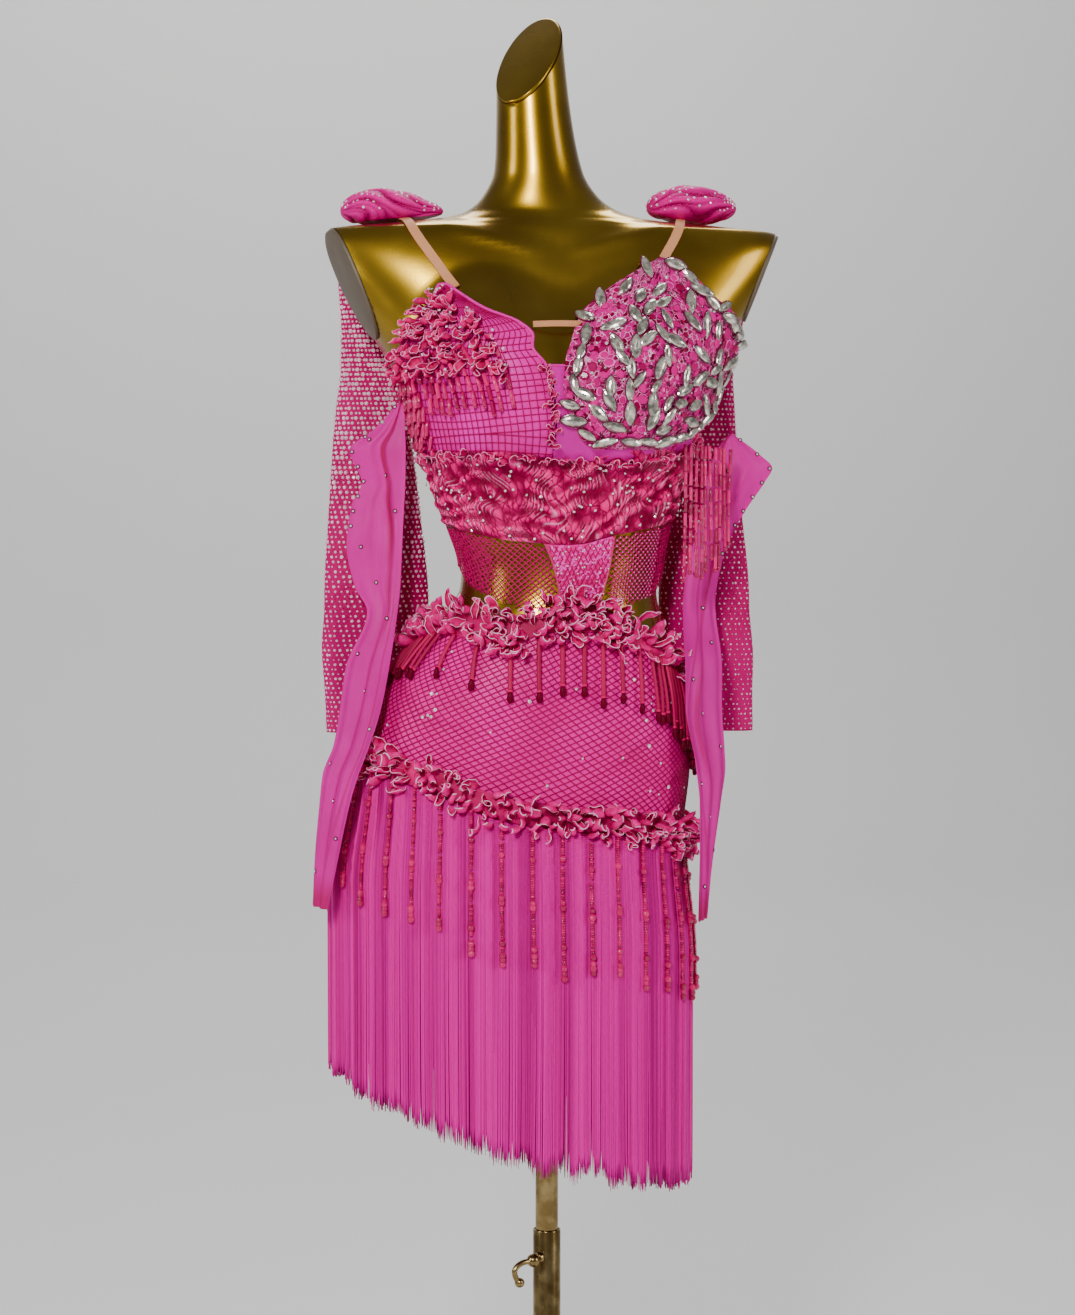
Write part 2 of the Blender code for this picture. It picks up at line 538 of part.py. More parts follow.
def build_cups():
    turns, heights = outline_grid(CUP_RIGHT, 12, 10)
    heights = follow_band_top(turns, heights, CUP_RIGHT[0, 0])
    wall_object("cup_right", on_form(turns, heights, SKIN_GAP), CLOTH, "deep pink net")

    turns, heights = outline_grid(CUP_LEFT, 12, 10)
    turns, heights = turns[:, ::-1], heights[:, ::-1]
    outer_share = np.clip(turns / CUP_LEFT_REACH, 0, 1)
    stand = OVER_CUP + CUP_LEFT_STAND * outer_share**2
    points = on_form(turns, heights) + level_outward(turns, heights) * stand[..., None]
    wall_object("cup_left", points, STONE_CLOTH, "silver stones")

    heights = np.linspace(GUSSET_FOOT, GUSSET_TOP, 10)
    right = np.radians(smooth(CUP_RIGHT[:, 0], CUP_RIGHT[:, 2], heights) + GUSSET_GAPS[0])
    left = np.radians(smooth(CUP_LEFT[:, 0], CUP_LEFT[:, 2], heights) - GUSSET_GAPS[1])
    share = np.linspace(0, 1, 5)[None, :]
    turns = right[:, None] * (1 - share) + left[:, None] * share
    heights = np.broadcast_to(heights[:, None], turns.shape)
    wall_object("bodice_front", on_form(turns, heights, GUSSET_LIFT), CLOTH, "hot pink satin")

    for name, table, shade, wall, columns, rows in (
            ("cup_ruffle", CUP_RUFFLE, "pink petals", TRIM_REACH, 9, 8),
            ("cup_bead_fringe", CUP_BEADS, "pink beads", BEAD_WALL, 8, 5),
            ("side_bead_fringe", SIDE_BEADS, "pink beads", BEAD_WALL, 5, 5)):
        turns, heights = outline_grid(table, columns, rows)
        wall_object(name, on_form(turns, heights, OVER_CUP), wall, shade)


def build_bodice():
    def band_foot(turns):
        return edge_line(BAND_FOOT, turns)

    panel("ruched_band", -90, 90, lambda t: edge_line(BAND_TOP, t), band_foot, SKIN_GAP,
          RUCHED_CLOTH, "pink petals", 21, 5)
    panel("bodice_back", 90, 270, lambda t: edge_line(BACK_TOP, t),
          lambda t: edge_line(BAND_FOOT, wrap_turn(t)), SKIN_GAP, CLOTH, "deep pink net", 17, 4)

    def midriff_top(turns):
        return edge_line(BAND_FOOT, wrap_turn(turns)) - 3 * SEAM

    def midriff_foot(turns):
        return edge_line(MIDRIFF_FOOT, wrap_turn(turns))

    for name, start, stop, shade, columns in (
            ("midriff_net_right", -62, -12, "deep pink net", 7),
            ("midriff_centre", -12, 20.5, "hot pink satin", 5),
            ("midriff_net_left", 20.5, 60, "deep pink net", 6),
            ("midriff_back", 60, 298, "deep pink net", 21)):
        panel(name, start, stop, midriff_top, midriff_foot, SKIN_GAP, CLOTH, shade, columns, 4)


def build_skirt():
    """The skirt's two panels, its two petal trims and the bead drops under the waist trim."""
    def waist(turns):
        return edge_line(WAIST_LINE, wrap_turn(turns))

    def hip(turns):
        return edge_line(HIP_LINE, wrap_turn(turns))

    for name, start in (("skirt_front", -90), ("skirt_back", 90)):
        panel(name, start, start + 180, waist, hip, SKIN_GAP, CLOTH, "deep pink net",
              HALF_COLUMNS, 6)

    turns = even_turns(-180, 180, 2 * HALF_COLUMNS - 1)[:-1]
    for name, line in (("waist_trim", waist), ("hip_trim", hip)):
        share = np.linspace(-0.5, 0.5, 3)[:, None]
        heights = line(turns)[None, :] + TRIM_HEIGHT * share
        wall_object(name, on_form(turns[None, :], heights, OVER_PANEL), TRIM_REACH,
                    "pink petals", closed=True)

    def drop_top(turns):
        return waist(turns) - TRIM_HEIGHT / 2 - UNDER_TRIM

    def drop_foot(turns):
        return drop_top(turns) - edge_line(DROP_LENGTH, wrap_turn(turns))

    for name, start in (("drop_fringe_front", -90), ("drop_fringe_back", 90)):
        panel(name, start, start + 180, drop_top, drop_foot, DROP_LIFT, BEAD_WALL, "pink beads",
              HALF_COLUMNS, 3)


def hem_heights(turns, across):
    """The fringe's hem: it falls from right to left, and bows up at both ends."""
    ahead = np.cos(turns)
    level = np.where(ahead > 0, HEM_FRONT, HEM_BACK)
    side_level = (HEM_FRONT + HEM_BACK) / 2
    level = level * np.abs(ahead) + side_level * (1 - np.abs(ahead))
    return level - HEM_FALL * (across - HIP_MIDDLE) + np.interp(across, HEM_BOW[:, 0], HEM_BOW[:, 1])


def hanging_wall(name, start, lengths, lift, wall, finish_name, extra_rows):
    """A half tube that hangs from under the hip trim and flares a little near its top.

    Its upper rows lie FLARE_STEPS below the top, so that both hanging layers bend alike.  It
    ends at the hem, or at the lengths of a table by turn.
    """
    turns = even_turns(start, start + 180, HALF_COLUMNS)
    turns[0] += SEAM_TURN
    turns[-1] -= SEAM_TURN
    wrapped = wrap_turn(turns)
    hip = edge_line(HIP_LINE, wrapped)
    top = hip - TRIM_HEIGHT / 2 - UNDER_TRIM
    rim = on_form(turns, top, FRINGE_LIFT)
    outward = level_outward(turns, top, FRINGE_LIFT)
    low = hem_heights(wrapped, rim[:, 0]) if lengths is None else top - edge_line(lengths, wrapped)
    upper = top[None, :] - np.array(FLARE_STEPS)[:, None]
    share = np.linspace(0, 1, extra_rows + 1)[1:, None]
    lower = upper[-1] * (1 - share) + low * share
    heights = np.concatenate((upper, lower))[::-1]
    ease = np.clip((top - heights) / FLARE_DEPTH, 0, 1)
    ease = ease**2 * (3 - 2 * ease)
    push = edge_line(FRINGE_FLARE, wrapped) * ease + lift
    points = rim[None, :, :] + outward[None, :, :] * push[..., None]
    points[..., 2] = heights
    return wall_object(name, points, wall, finish_name)


def build_fringe():
    """Chainette fringe, and a layer of shorter bead strands over it."""
    for side, start in (("front", -90), ("back", 90)):
        hanging_wall("fringe_" + side, start, None, 0.0, FRINGE_WALL, "pink fringe", 3)
        hanging_wall("bead_fringe_" + side, start, BEAD_LENGTH, FRINGE_WALL + 2 * SEAM, BEAD_WALL,
                     "pink beads", 1)


# ---------------------------------------------------------------- sleeves, overlays, curtain
def tube_points(table, names, columns, heights):
    """Ovals along a sleeve: each lies level, with its own middle, half sizes and turn."""
    by_height = table[::-1]
    value = {name: column(by_height, names, name, heights)[:, None] for name in names[1:]}
    angle = np.linspace(0, 2 * math.pi, columns + 1)[:-1][None, :]
    across = value["half_width"] * power(np.cos(angle), 2 / SLEEVE_SQUARENESS)
    deep = value["half_depth"] * power(np.sin(angle), 2 / SLEEVE_SQUARENESS)
    turn = np.radians(value["turn"])
    x = value["x"] + across * np.cos(turn) - deep * np.sin(turn)
    y = value["y"] + across * np.sin(turn) + deep * np.cos(turn)
    return np.stack((x, y, np.broadcast_to(heights[:, None], x.shape)), axis=-1)


def build_sleeves():
    """Each sleeve in three lengths, so that every length's collision stays open."""
    for side, table in (("right", SLEEVE_RIGHT), ("left", SLEEVE_LEFT)):
        for name, foot, top, rows in SLEEVE_LENGTHS:
            heights = np.linspace(foot + 0.7 * SEAM, top - 0.7 * SEAM, rows)
            wall_object(name + "_" + side, tube_points(table, SLEEVE_COLUMN_NAMES, 14, heights),
                        SLEEVE_WALL, "deep pink net", closed=True)


def overlay_points(table, side, columns, rows):
    """A strip between its outer and inner edges, in lengthwise waves that grow downwards."""
    heights = np.linspace(table[-1, 0], table[0, 0], rows)
    by_height = table[::-1]
    value = {name: column(by_height, OVERLAY_COLUMN_NAMES, name, heights)[:, None]
             for name in OVERLAY_COLUMN_NAMES[1:]}
    share = np.linspace(0, 1, columns)[None, :]
    x = value["outer_x"] * (1 - share) + value["inner_x"] * share
    y = value["outer_y"] * (1 - share) + value["inner_y"] * share
    along_x, along_y = value["inner_x"] - value["outer_x"], value["inner_y"] - value["outer_y"]
    length = np.hypot(along_x, along_y)
    down = (table[0, 0] - heights[:, None]) / (table[0, 0] - table[-1, 0])
    depth = OVERLAY_FOLD_DEPTH * np.clip(length / OVERLAY_FOLD_WIDTH, 0, 1) * (1 + down) / 2
    wave = depth * np.sin(2 * math.pi * OVERLAY_FOLDS * share + OVERLAY_FOLD_DRIFT * down)
    x = x - side * wave * along_y / length
    y = y + side * wave * along_x / length
    return np.stack((x, y, np.broadcast_to(heights[:, None], x.shape)), axis=-1)


def build_overlays():
    for name, table, side in (("overlay_right", OVERLAY_RIGHT, 1), ("overlay_left", OVERLAY_LEFT, -1)):
        points = overlay_points(table, side, 8, 14)
        if side < 0:
            points = points[:, ::-1]
        wall_object(name, points, OVERLAY_WALL, "hot pink satin")


def build_underarm_fringe():
    """A curtain of bugle strands that hangs free beside the left cup."""
    share = np.linspace(0, 1, 5)[None, :]
    rise = np.linspace(0, 1, 3)[:, None]
    (inner_x, inner_y), (outer_x, outer_y) = UNDERARM["inner"], UNDERARM["outer"]
    x = inner_x * (1 - share) + outer_x * share + 0 * rise
    y = inner_y * (1 - share) + outer_y * share + 0 * rise
    z = UNDERARM["foot"] * (1 - rise) + UNDERARM["top"] * rise + 0 * share
    wall_object("underarm_bead_fringe", np.stack((x, y, z), axis=-1), BEAD_WALL, "pink beads")


# ---------------------------------------------------------------- straps and shoulder rolls
def surface_finder(form):
    """Nearest place on the form, and the way it faces."""
    return BVHTree.FromObject(form, bpy.context.evaluated_depsgraph_get())


def smooth_path(places, count):
    """Evenly spaced points of a smooth curve through the places."""
    places = np.array(places)
    run = np.concatenate(([0.0], np.cumsum(np.linalg.norm(np.diff(places, axis=0), axis=1))))
    at = np.linspace(0, run[-1], count)
    return np.stack([smooth(run, places[:, axis], at) for axis in range(3)], axis=-1)


def strap_object(name, finder, places, width, lift, count):
    """A flat elastic laid over the form along the places."""
    centre, facing = [], []
    for place in smooth_path(places, count):
        spot, normal, _, _ = finder.find_nearest(Vector(place))
        centre.append(spot)
        facing.append(normal)
    facing = [sum(facing[max(k - 1, 0):k + 2], Vector()).normalized() for k in range(count)]
    bm = bmesh.new()
    rings = []
    for k, (spot, normal) in enumerate(zip(centre, facing)):
        along = (centre[min(k + 1, count - 1)] - centre[max(k - 1, 0)]).normalized()
        across = along.cross(normal).normalized() * width / 2
        low, high = spot + normal * lift, spot + normal * (lift + STRAP_WALL)
        rings.append([bm.verts.new(corner)
                      for corner in (low - across, low + across, high + across, high - across)])
    for ring, following in zip(rings, rings[1:]):
        for corner in range(4):
            after = (corner + 1) % 4
            bm.faces.new((ring[corner], ring[after], following[after], following[corner]))
    bm.faces.new(rings[0][::-1])
    bm.faces.new(rings[-1])
    return solid_from_bmesh(name, bm, "nude elastic")


def build_straps(finder):
    strap_object("strap_right", finder, STRAP_RIGHT, STRAP_WIDTH, SKIN_GAP, 26)
    strap_object("strap_left", finder, STRAP_LEFT, STRAP_WIDTH, SKIN_GAP, 24)
    build_chest_strap()


def build_chest_strap():
    """A short elastic that spans the dip between the cups."""
    start, stop = (Vector(on_form(math.radians(turn), height, CHEST_STRAP_LIFT))
                   for turn, height in CHEST_STRAP)
    along = (stop - start).normalized()
    up = Vector((0, 0, 1))
    outward = along.cross(up)
    bm = bmesh.new()
    bmesh.ops.create_cube(bm, size=1.0)
    length = (stop - start).length
    frame = Matrix((along * length, outward * STRAP_WALL, up * CHEST_STRAP_WIDTH)).transposed()
    place = Matrix.Translation((start + stop) / 2) @ frame.to_4x4()
    bmesh.ops.transform(bm, matrix=place, verts=bm.verts)
    solid_from_bmesh("chest_strap", bm, "nude elastic")


def build_rolls(finder):
    """Bunched mesh on the shoulders: a lumpy oval, pressed onto the form below it."""
    for name, middle in ROLLS.items():
        bm = bmesh.new()
        bmesh.ops.create_uvsphere(bm, u_segments=16, v_segments=8, radius=1.0)
        for corner in bm.verts:
            x, y, z = corner.co
            lump = 1 + sum(size * math.sin(rate_x * x + rate_y * y + start)
                           for size, rate_x, rate_y, start in ROLL_LUMPS)
            corner.co = Vector(middle) + Vector(ROLL_HALF) * Vector((x, y, z)) * lump
            spot, normal, _, _ = finder.find_nearest(corner.co)
            clearance = (corner.co - spot).dot(normal)
            if clearance < ROLL_GAP:
                corner.co = spot + normal * ROLL_GAP
        solid_from_bmesh(name, bm, "deep pink net")


# ---------------------------------------------------------------- stand
def build_stand():
    turned_object("base_plate", (
        (0.0, BASE_HEIGHT), (BASE_RADIUS - 2 * BASE_EDGE, BASE_HEIGHT),
        (BASE_RADIUS, BASE_HEIGHT - BASE_EDGE), (BASE_RADIUS, BASE_EDGE),
        (BASE_RADIUS - BASE_EDGE, 0.0), (0.0, 0.0)), "antique brass", 48)
    foot = BASE_HEIGHT + SEAM
    sleeve = TUBE_RADIUS + HUB_SLEEVE
    turned_object("hub", (
        (0.0, HUB_TOP), (sleeve - 0.003, HUB_TOP), (sleeve - 0.001, HUB_TOP - 0.003),
        (sleeve, foot + 0.018), (HUB_RADIUS - 0.006, foot + 0.009),
        (HUB_RADIUS, foot + 0.005), (HUB_RADIUS, foot), (0.0, foot)), "antique brass", 24)
    tube_foot = HUB_TOP + SEAM
    turned_object("outer_tube", (
        (TUBE_BORE, TUBE_TOP), (TUBE_RADIUS - TUBE_EDGE, TUBE_TOP), (TUBE_RADIUS, TUBE_TOP - TUBE_EDGE),
        (TUBE_RADIUS, tube_foot), (0.0, tube_foot), (0.0, tube_foot + TUBE_FLOOR),
        (TUBE_BORE, tube_foot + TUBE_FLOOR), (TUBE_BORE, TUBE_TOP)), "antique brass", 24)
    swivel_foot = FORM_FOOT - SEAM - SWIVEL_HEIGHT
    mast_top = swivel_foot - SEAM
    turned_object("mast", (
        (0.0, mast_top), (MAST_RADIUS, mast_top), (MAST_RADIUS, MAST_FOOT),
        (MAST_RADIUS - MAST_WALL, MAST_FOOT), (MAST_RADIUS - MAST_WALL, mast_top - 4 * MAST_WALL),
        (0.0, mast_top - 4 * MAST_WALL)), "antique brass", 24)
    turned_object("swivel_plate", (
        (0.0, FORM_FOOT - SEAM), (SWIVEL_RADIUS, FORM_FOOT - SEAM),
        (SWIVEL_RADIUS, swivel_foot + SWIVEL_EDGE), (SWIVEL_RADIUS - SWIVEL_EDGE, swivel_foot),
        (0.0, swivel_foot)), "antique brass", 28)


def clamp_direction():
    return Vector((-math.sin(CLAMP_HEADING), -math.cos(CLAMP_HEADING), 0.0))


def build_clamp():
    """The clamp screw: a seat on the tube, a ball and a curled bar with a ball end."""
    outward = clamp_direction()
    level = Vector((0, 0, CLAMP_HEIGHT))
    aim = outward.to_track_quat("Z", "Y").to_matrix().to_4x4()
    bm = bmesh.new()
    bmesh.ops.create_cone(bm, cap_ends=True, segments=24, radius1=SEAT_RADII[0],
                          radius2=SEAT_RADII[1], depth=SEAT_LENGTH)
    place = Matrix.Translation(level + outward * (TUBE_RADIUS + SEAM + SEAT_LENGTH / 2)) @ aim
    bmesh.ops.transform(bm, matrix=place, verts=bm.verts)
    solid_from_bmesh("clamp_boss", bm, "antique brass")

    ball = level + outward * CLAMP_BALL_REACH
    reach = Matrix.Rotation(-CLAMP_BAR_TURN, 3, "Z") @ outward
    path = smooth_path([ball + reach * along - Vector((0, 0, down)) for along, down in CLAMP_BAR], 10)
    curve = bpy.data.curves.new("clamp bar", "CURVE")
    curve.dimensions = "3D"
    curve.bevel_depth = CLAMP_BAR_RADIUS
    curve.bevel_resolution = 1
    curve.use_fill_caps = True
    spline = curve.splines.new("POLY")
    spline.points.add(len(path) - 1)
    spline.points.foreach_set("co", np.column_stack((path, np.ones(len(path)))).ravel())
    bar = bpy.data.objects.new("clamp bar", curve)
    COLLECTION.objects.link(bar)
    graph = bpy.context.evaluated_depsgraph_get()
    bar_mesh = bpy.data.meshes.new_from_object(bar.evaluated_get(graph))
    bpy.data.objects.remove(bar, do_unlink=True)
    bm = bmesh.new()
    bm.from_mesh(bar_mesh)
    bmesh.ops.remove_doubles(bm, verts=bm.verts, dist=1e-5)
    screw = solid_from_bmesh("clamp_screw", bm, "antique brass")
    for place, radius in ((ball, CLAMP_BALL_RADIUS), (Vector(path[-1]), CLAMP_END_RADIUS)):
        ball_bm = bmesh.new()
        bmesh.ops.create_uvsphere(ball_bm, u_segments=14, v_segments=8, radius=radius)
        bmesh.ops.translate(ball_bm, verts=ball_bm.verts, vec=place)
        cutter = solid_from_bmesh("ball", ball_bm, "antique brass")
        cutter.hide_render = True
        cutter.display_type = "WIRE"
        COLLECTION.objects.unlink(cutter)
        CUTTERS.objects.link(cutter)
        union = screw.modifiers.new("ball", "BOOLEAN")
        union.operation = "UNION"
        union.object = cutter
    return screw


# ---------------------------------------------------------------- what moves
def group_under(title, place, names):
    """Parent pieces to an empty on their joint's axis, leaving them where they are."""
    handle = bpy.data.objects.new(title, None)
    handle.location = place
    COLLECTION.objects.link(handle)
    bpy.context.view_layer.update()
    for name in names:
        piece = bpy.data.objects[name]
        piece.parent = handle
        piece.matrix_parent_inverse = handle.matrix_world.inverted()


def group_pieces():
    stand = ("base_plate", "hub", "outer_tube", "clamp_boss")
    mast = ("mast",)
    clamp = ("clamp_screw",)
    apart = stand + mast + clamp
    dressed = [item.name for item in COLLECTION.objects if item.name not in apart]
    group_under("stand handle", (0, 0, 0), stand)
    group_under("mast handle", (0, 0, MAST_FOOT), mast)
    group_under("clamp handle", Vector((0, 0, CLAMP_HEIGHT)) + clamp_direction() * CLAMP_BALL_REACH,
                clamp)
    group_under("form handle", (0, 0, FORM_FOOT), dressed)


clear_scene()
COLLECTION = new_collection("rumba dress on form")
CUTTERS = new_collection("cutters")
dress_form = build_form()
build_cups()
build_bodice()
build_skirt()
build_fringe()
build_sleeves()
build_overlays()
build_underarm_fringe()
form_finder = surface_finder(dress_form)
build_straps(form_finder)
build_rolls(form_finder)
build_stand()
build_clamp()
group_pieces()
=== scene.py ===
"""Looks of a rumba dance dress on its limbless dress form and pole stand.

Metres, +Z up, the wearer's front is -Y and the wearer's right is -X.  Every cloth piece is worked
out on the level sections of the dress form, which on_form gives for a turn about the form's
middle (0 front, 90 degrees the left arm) and a height.
"""
import math

import bmesh
import bpy
import numpy as np
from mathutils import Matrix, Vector
from mathutils.bvhtree import BVHTree


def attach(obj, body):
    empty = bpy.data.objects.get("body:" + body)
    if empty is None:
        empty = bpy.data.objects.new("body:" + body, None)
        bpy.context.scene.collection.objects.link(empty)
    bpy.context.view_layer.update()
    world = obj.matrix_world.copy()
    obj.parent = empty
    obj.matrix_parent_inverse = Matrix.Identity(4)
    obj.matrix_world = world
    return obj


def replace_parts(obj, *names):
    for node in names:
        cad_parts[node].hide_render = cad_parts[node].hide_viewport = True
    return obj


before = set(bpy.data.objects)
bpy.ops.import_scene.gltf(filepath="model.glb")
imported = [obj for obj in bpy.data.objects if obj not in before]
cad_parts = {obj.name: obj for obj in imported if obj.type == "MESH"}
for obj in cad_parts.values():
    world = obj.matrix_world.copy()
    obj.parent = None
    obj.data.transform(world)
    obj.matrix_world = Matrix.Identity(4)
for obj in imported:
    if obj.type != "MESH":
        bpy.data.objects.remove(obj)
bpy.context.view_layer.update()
draw = np.random.default_rng(41)
UP = np.array((0.0, 0.0, 1.0))
LYING_ON = ["form_shell"]       # what the stretched and gathered sheets rest on

# ---------------------------------------------------------------- sizes (metres)
FORM_FOOT = 0.74
EVEN_POWER = 1.12
CLOTH = 0.0008                  # thickness of satin
NET_LIFT = 0.0039               # threads of a net lie this far off the form
TRIM_HEIGHT = 0.028
FRINGE_LIFT = 0.0054
FLARE_DEPTH = 0.1
DROP_LIFT = 0.008
HIP_MIDDLE = -0.023
HEM_FRONT = 0.538
HEM_BACK = 0.556
HEM_FALL = 0.35
HEM_BOW = np.array(((-0.2, 0.023), (-0.187, 0.02), (-0.177, 0.0095), (-0.165, 0.005), (-0.142, 0.002),
                    (-0.097, -0.0045), (-0.042, -0.0055), (0.003, -0.001), (0.03, 0.002), (0.07, 0.0065),
                    (0.12, 0.0088), (0.16, 0.012)))
DROP_TURNS = np.array((-49.4, -34.0, -17.8, -7.9, 0.9, 10.1, 18.7, 27.8, 37.5))
HIP_ROUND = 0.132               # mean radius of the skirt, for spacing along it
WAIST_ROUND = 0.098             # the same for the midriff
WAIST_TRIM_ROUND = 0.09         # for the waist trim
BUST_ROUND = 0.112              # and for the bodice
PETAL_GAP = 0.0108              # between petals along a trim
SATIN_LIFT = 0.0034             # satin panels lie this far off the form

# Turns in degrees across the bodice front, and how far the band rises above its foot there.
BAND_RISE = ((-90, -12, 6, 14, 20, 36, 50, 62, 75, 88),
             (0.003, 0.003, 0.001, 0.006, 0.008, 0.011, 0.015, 0.019, 0.021, 0.01))

# Level sections of the dress form: height, then the columns named here.
FORM_COLUMNS = ("middle", "half_width", "front", "back", "squareness")
FORM_SECTIONS = np.array((
    (0.74, -0.02, 0.118, 0.08, 0.092, 2.3),
    (0.78, -0.023, 0.136, 0.089, 0.106, 2.3),
    (0.83, -0.025, 0.147, 0.093, 0.114, 2.3),
    (0.88, -0.023, 0.151, 0.094, 0.116, 2.25),
    (0.938, -0.015, 0.141, 0.094, 0.108, 2.2),
    (0.984, -0.006, 0.121, 0.09, 0.094, 2.15),
    (1.021, 0.004, 0.1005, 0.084, 0.084, 2.1),
    (1.046, 0.0105, 0.0905, 0.081, 0.08, 2.1),
    (1.07, 0.013, 0.0925, 0.08, 0.08, 2.1),
    (1.1, 0.011, 0.1, 0.082, 0.083, 2.1),
    (1.14, 0.0085, 0.112, 0.086, 0.088, 2.15),
    (1.18, 0.007, 0.123, 0.089, 0.093, 2.2),
    (1.22, 0.006, 0.134, 0.09, 0.096, 2.3),
    (1.265, 0.005, 0.158, 0.085, 0.097, 2.5),
    (1.3, 0.005, 0.181, 0.077, 0.094, 2.6),
    (1.335, 0.005, 0.204, 0.067, 0.085, 2.6),
    (1.358, 0.005, 0.214, 0.058, 0.073, 2.5),
    (1.37, 0.005, 0.207, 0.052, 0.063, 2.3),
    (1.3755, 0.004, 0.16, 0.048, 0.056, 2.1),
    (1.38, 0.001, 0.11, 0.045, 0.052, 2.0),
    (1.388, -0.003, 0.072, 0.042, 0.048, 2.0),
    (1.402, -0.006, 0.053, 0.04, 0.045, 2.0),
    (1.425, -0.008, 0.0405, 0.037, 0.041, 2.0),
    (1.465, -0.0115, 0.035, 0.034, 0.037, 2.0),
    (1.515, -0.0145, 0.0315, 0.031, 0.033, 2.0),
    (1.57, -0.017, 0.029, 0.029, 0.03, 2.0),
    (1.61, -0.019, 0.0275, 0.028, 0.028, 2.0),
))
BUST = {"spread": 0.07, "height": 1.216, "reach_x": 0.086, "reach_up": 0.122, "reach_down": 0.078,
        "rise": 0.04, "valley": 0.022}
COLLARBONE = {"inner": 0.014, "outer": 0.112, "foot": 1.346, "rise": 0.026, "wide": 0.0062,
              "high": 0.0019, "hollow": 0.0016, "notch_depth": 0.0026, "notch_wide": 0.0125}

# Flat cuts of the form: a point on the plane, the way it faces, the height above which it cuts,
# and the side it is kept to (-1 right, 1 left, 0 both).
CUT_PLANES = {
    "arm_plate_right": ((-0.197, 0.0, 1.37), (-0.92, -0.16, -0.36), 1.236, -1),
    "arm_plate_left": ((0.212, 0.0, 1.37), (0.92, -0.16, -0.36), 1.236, 1),
    "neck_cap": ((-0.0155, 0.0, 1.5255), (-0.539, -0.614, 0.579), 1.41, 0),
}

# Slanted edge lines round the dress: turn in degrees, height.
HIP_LINE = np.array((
    (-180, 0.862), (-150, 0.878), (-120, 0.892), (-90, 0.899), (-60, 0.892), (-33, 0.878),
    (-8, 0.853), (10, 0.842), (30, 0.8365), (45, 0.83), (70, 0.82), (90, 0.816), (120, 0.822),
    (150, 0.842), (180, 0.862)))
WAIST_LINE = np.array((
    (-180, 1.0), (-140, 1.004), (-90, 1.008), (-60, 1.018), (-35, 1.012), (-20, 1.008),
    (-3, 1.021), (15, 1.02), (30, 1.012), (46, 1.0), (60, 0.984), (75, 0.966), (90, 0.956),
    (120, 0.966), (150, 0.985), (180, 1.0)))
BAND_TOP = np.array((
    (-90, 1.163), (-31, 1.165), (-12, 1.162), (14, 1.159), (38, 1.1635), (60, 1.169),
    (90, 1.18)))
BAND_FOOT = np.array((
    (-180, 1.106), (-90, 1.104), (-51, 1.095), (-25, 1.089), (0, 1.0865), (20, 1.094),
    (90, 1.108), (180, 1.106)))
MIDRIFF_FOOT = np.array((
    (-180, 1.032), (-160, 1.034), (-130, 1.05), (-90, 1.072), (-65, 1.054), (-38, 1.042),
    (-20, 1.035), (-12, 1.0345), (20, 1.0345), (35, 1.037), (58, 1.045), (90, 1.062),
    (130, 1.05), (160, 1.034), (180, 1.032)))
BACK_TOP = np.array(((90, 1.2), (115, 1.186), (150, 1.16), (180, 1.153), (210, 1.16),
                     (245, 1.186), (270, 1.2)))
DROP_LENGTH = np.array(((-180, 0.036), (-90, 0.036), (-50, 0.037), (-18, 0.043), (-8, 0.053),
                        (2, 0.058), (10, 0.061), (30, 0.058), (50, 0.06), (62, 0.066), (90, 0.066),
                        (120, 0.04), (180, 0.036)))
BEAD_LENGTH = np.array(((-180, 0.112), (-90, 0.098), (0, 0.126), (90, 0.128), (180, 0.112)))
FRINGE_FLARE = np.array(((-180, 0.006), (-90, 0.019), (-40, 0.008), (0, 0.005), (90, 0.009),
                         (180, 0.006)))

# Soft pulls of the skirt: turn, height, half length, half width, slant, depth.
SKIRT_PULLS = ((-62, 0.955, 0.04, 0.005, -24, 0.001), (-38, 0.93, 0.034, 0.0044, -14, 0.0007),
               (38, 0.905, 0.046, 0.005, 31, 0.0009), (66, 0.88, 0.036, 0.0042, 22, 0.001),
               (12, 0.955, 0.03, 0.006, -6, 0.0006), (118, 0.89, 0.05, 0.0052, 20, 0.001),
               (160, 0.94, 0.04, 0.005, -16, 0.0008), (205, 0.9, 0.046, 0.0048, 24, 0.0009),
               (248, 0.95, 0.04, 0.0052, -20, 0.001))

# Cups and what lies on them: height, turn of the outer edge, turn of the inner edge (degrees).
CUP_RIGHT = np.array((
    (1.168, -89.7, -5.6), (1.192, -89.7, -4.4), (1.21, -89.0, -4.4), (1.227, -84.0, -4.5),
    (1.244, -75.0, -5.4), (1.258, -63.0, -7.8), (1.27, -53.5, -6.9), (1.281, -45.0, -9.6),
    (1.293, -37.3, -17.5), (1.305, -31.7, -22.0), (1.316, -28.0, -25.2)))
CUP_LEFT = np.array((
    (1.17, 36.0, 9.0), (1.18, 55.6, 3.8), (1.2, 71.8, -0.7), (1.2235, 81.6, -1.8),
    (1.2375, 84.0, -1.1), (1.262, 78.9, 0.4), (1.2906, 58.1, 2.8), (1.309, 40.7, 6.8),
    (1.331, 28.1, 14.0), (1.342, 22.6, 19.0)))
CUP_RUFFLE = np.array((
    (1.239, -74.0, -17.0), (1.252, -67.0, -18.0), (1.268, -55.0, -19.5), (1.285, -43.0, -20.0),
    (1.3, -34.0, -22.0), (1.311, -29.5, -25.5)))
CUP_BEND_TOP = 1.215
GUSSET_GAP = 0.5                # degrees
GUSSET_LIFT = 0.0032
GUSSET_TOP = np.array(((-6, 1.243), (2, 1.243), (10, 1.2), (20, 1.188), (36, 1.188), (56, 1.2),
                       (76, 1.222)))
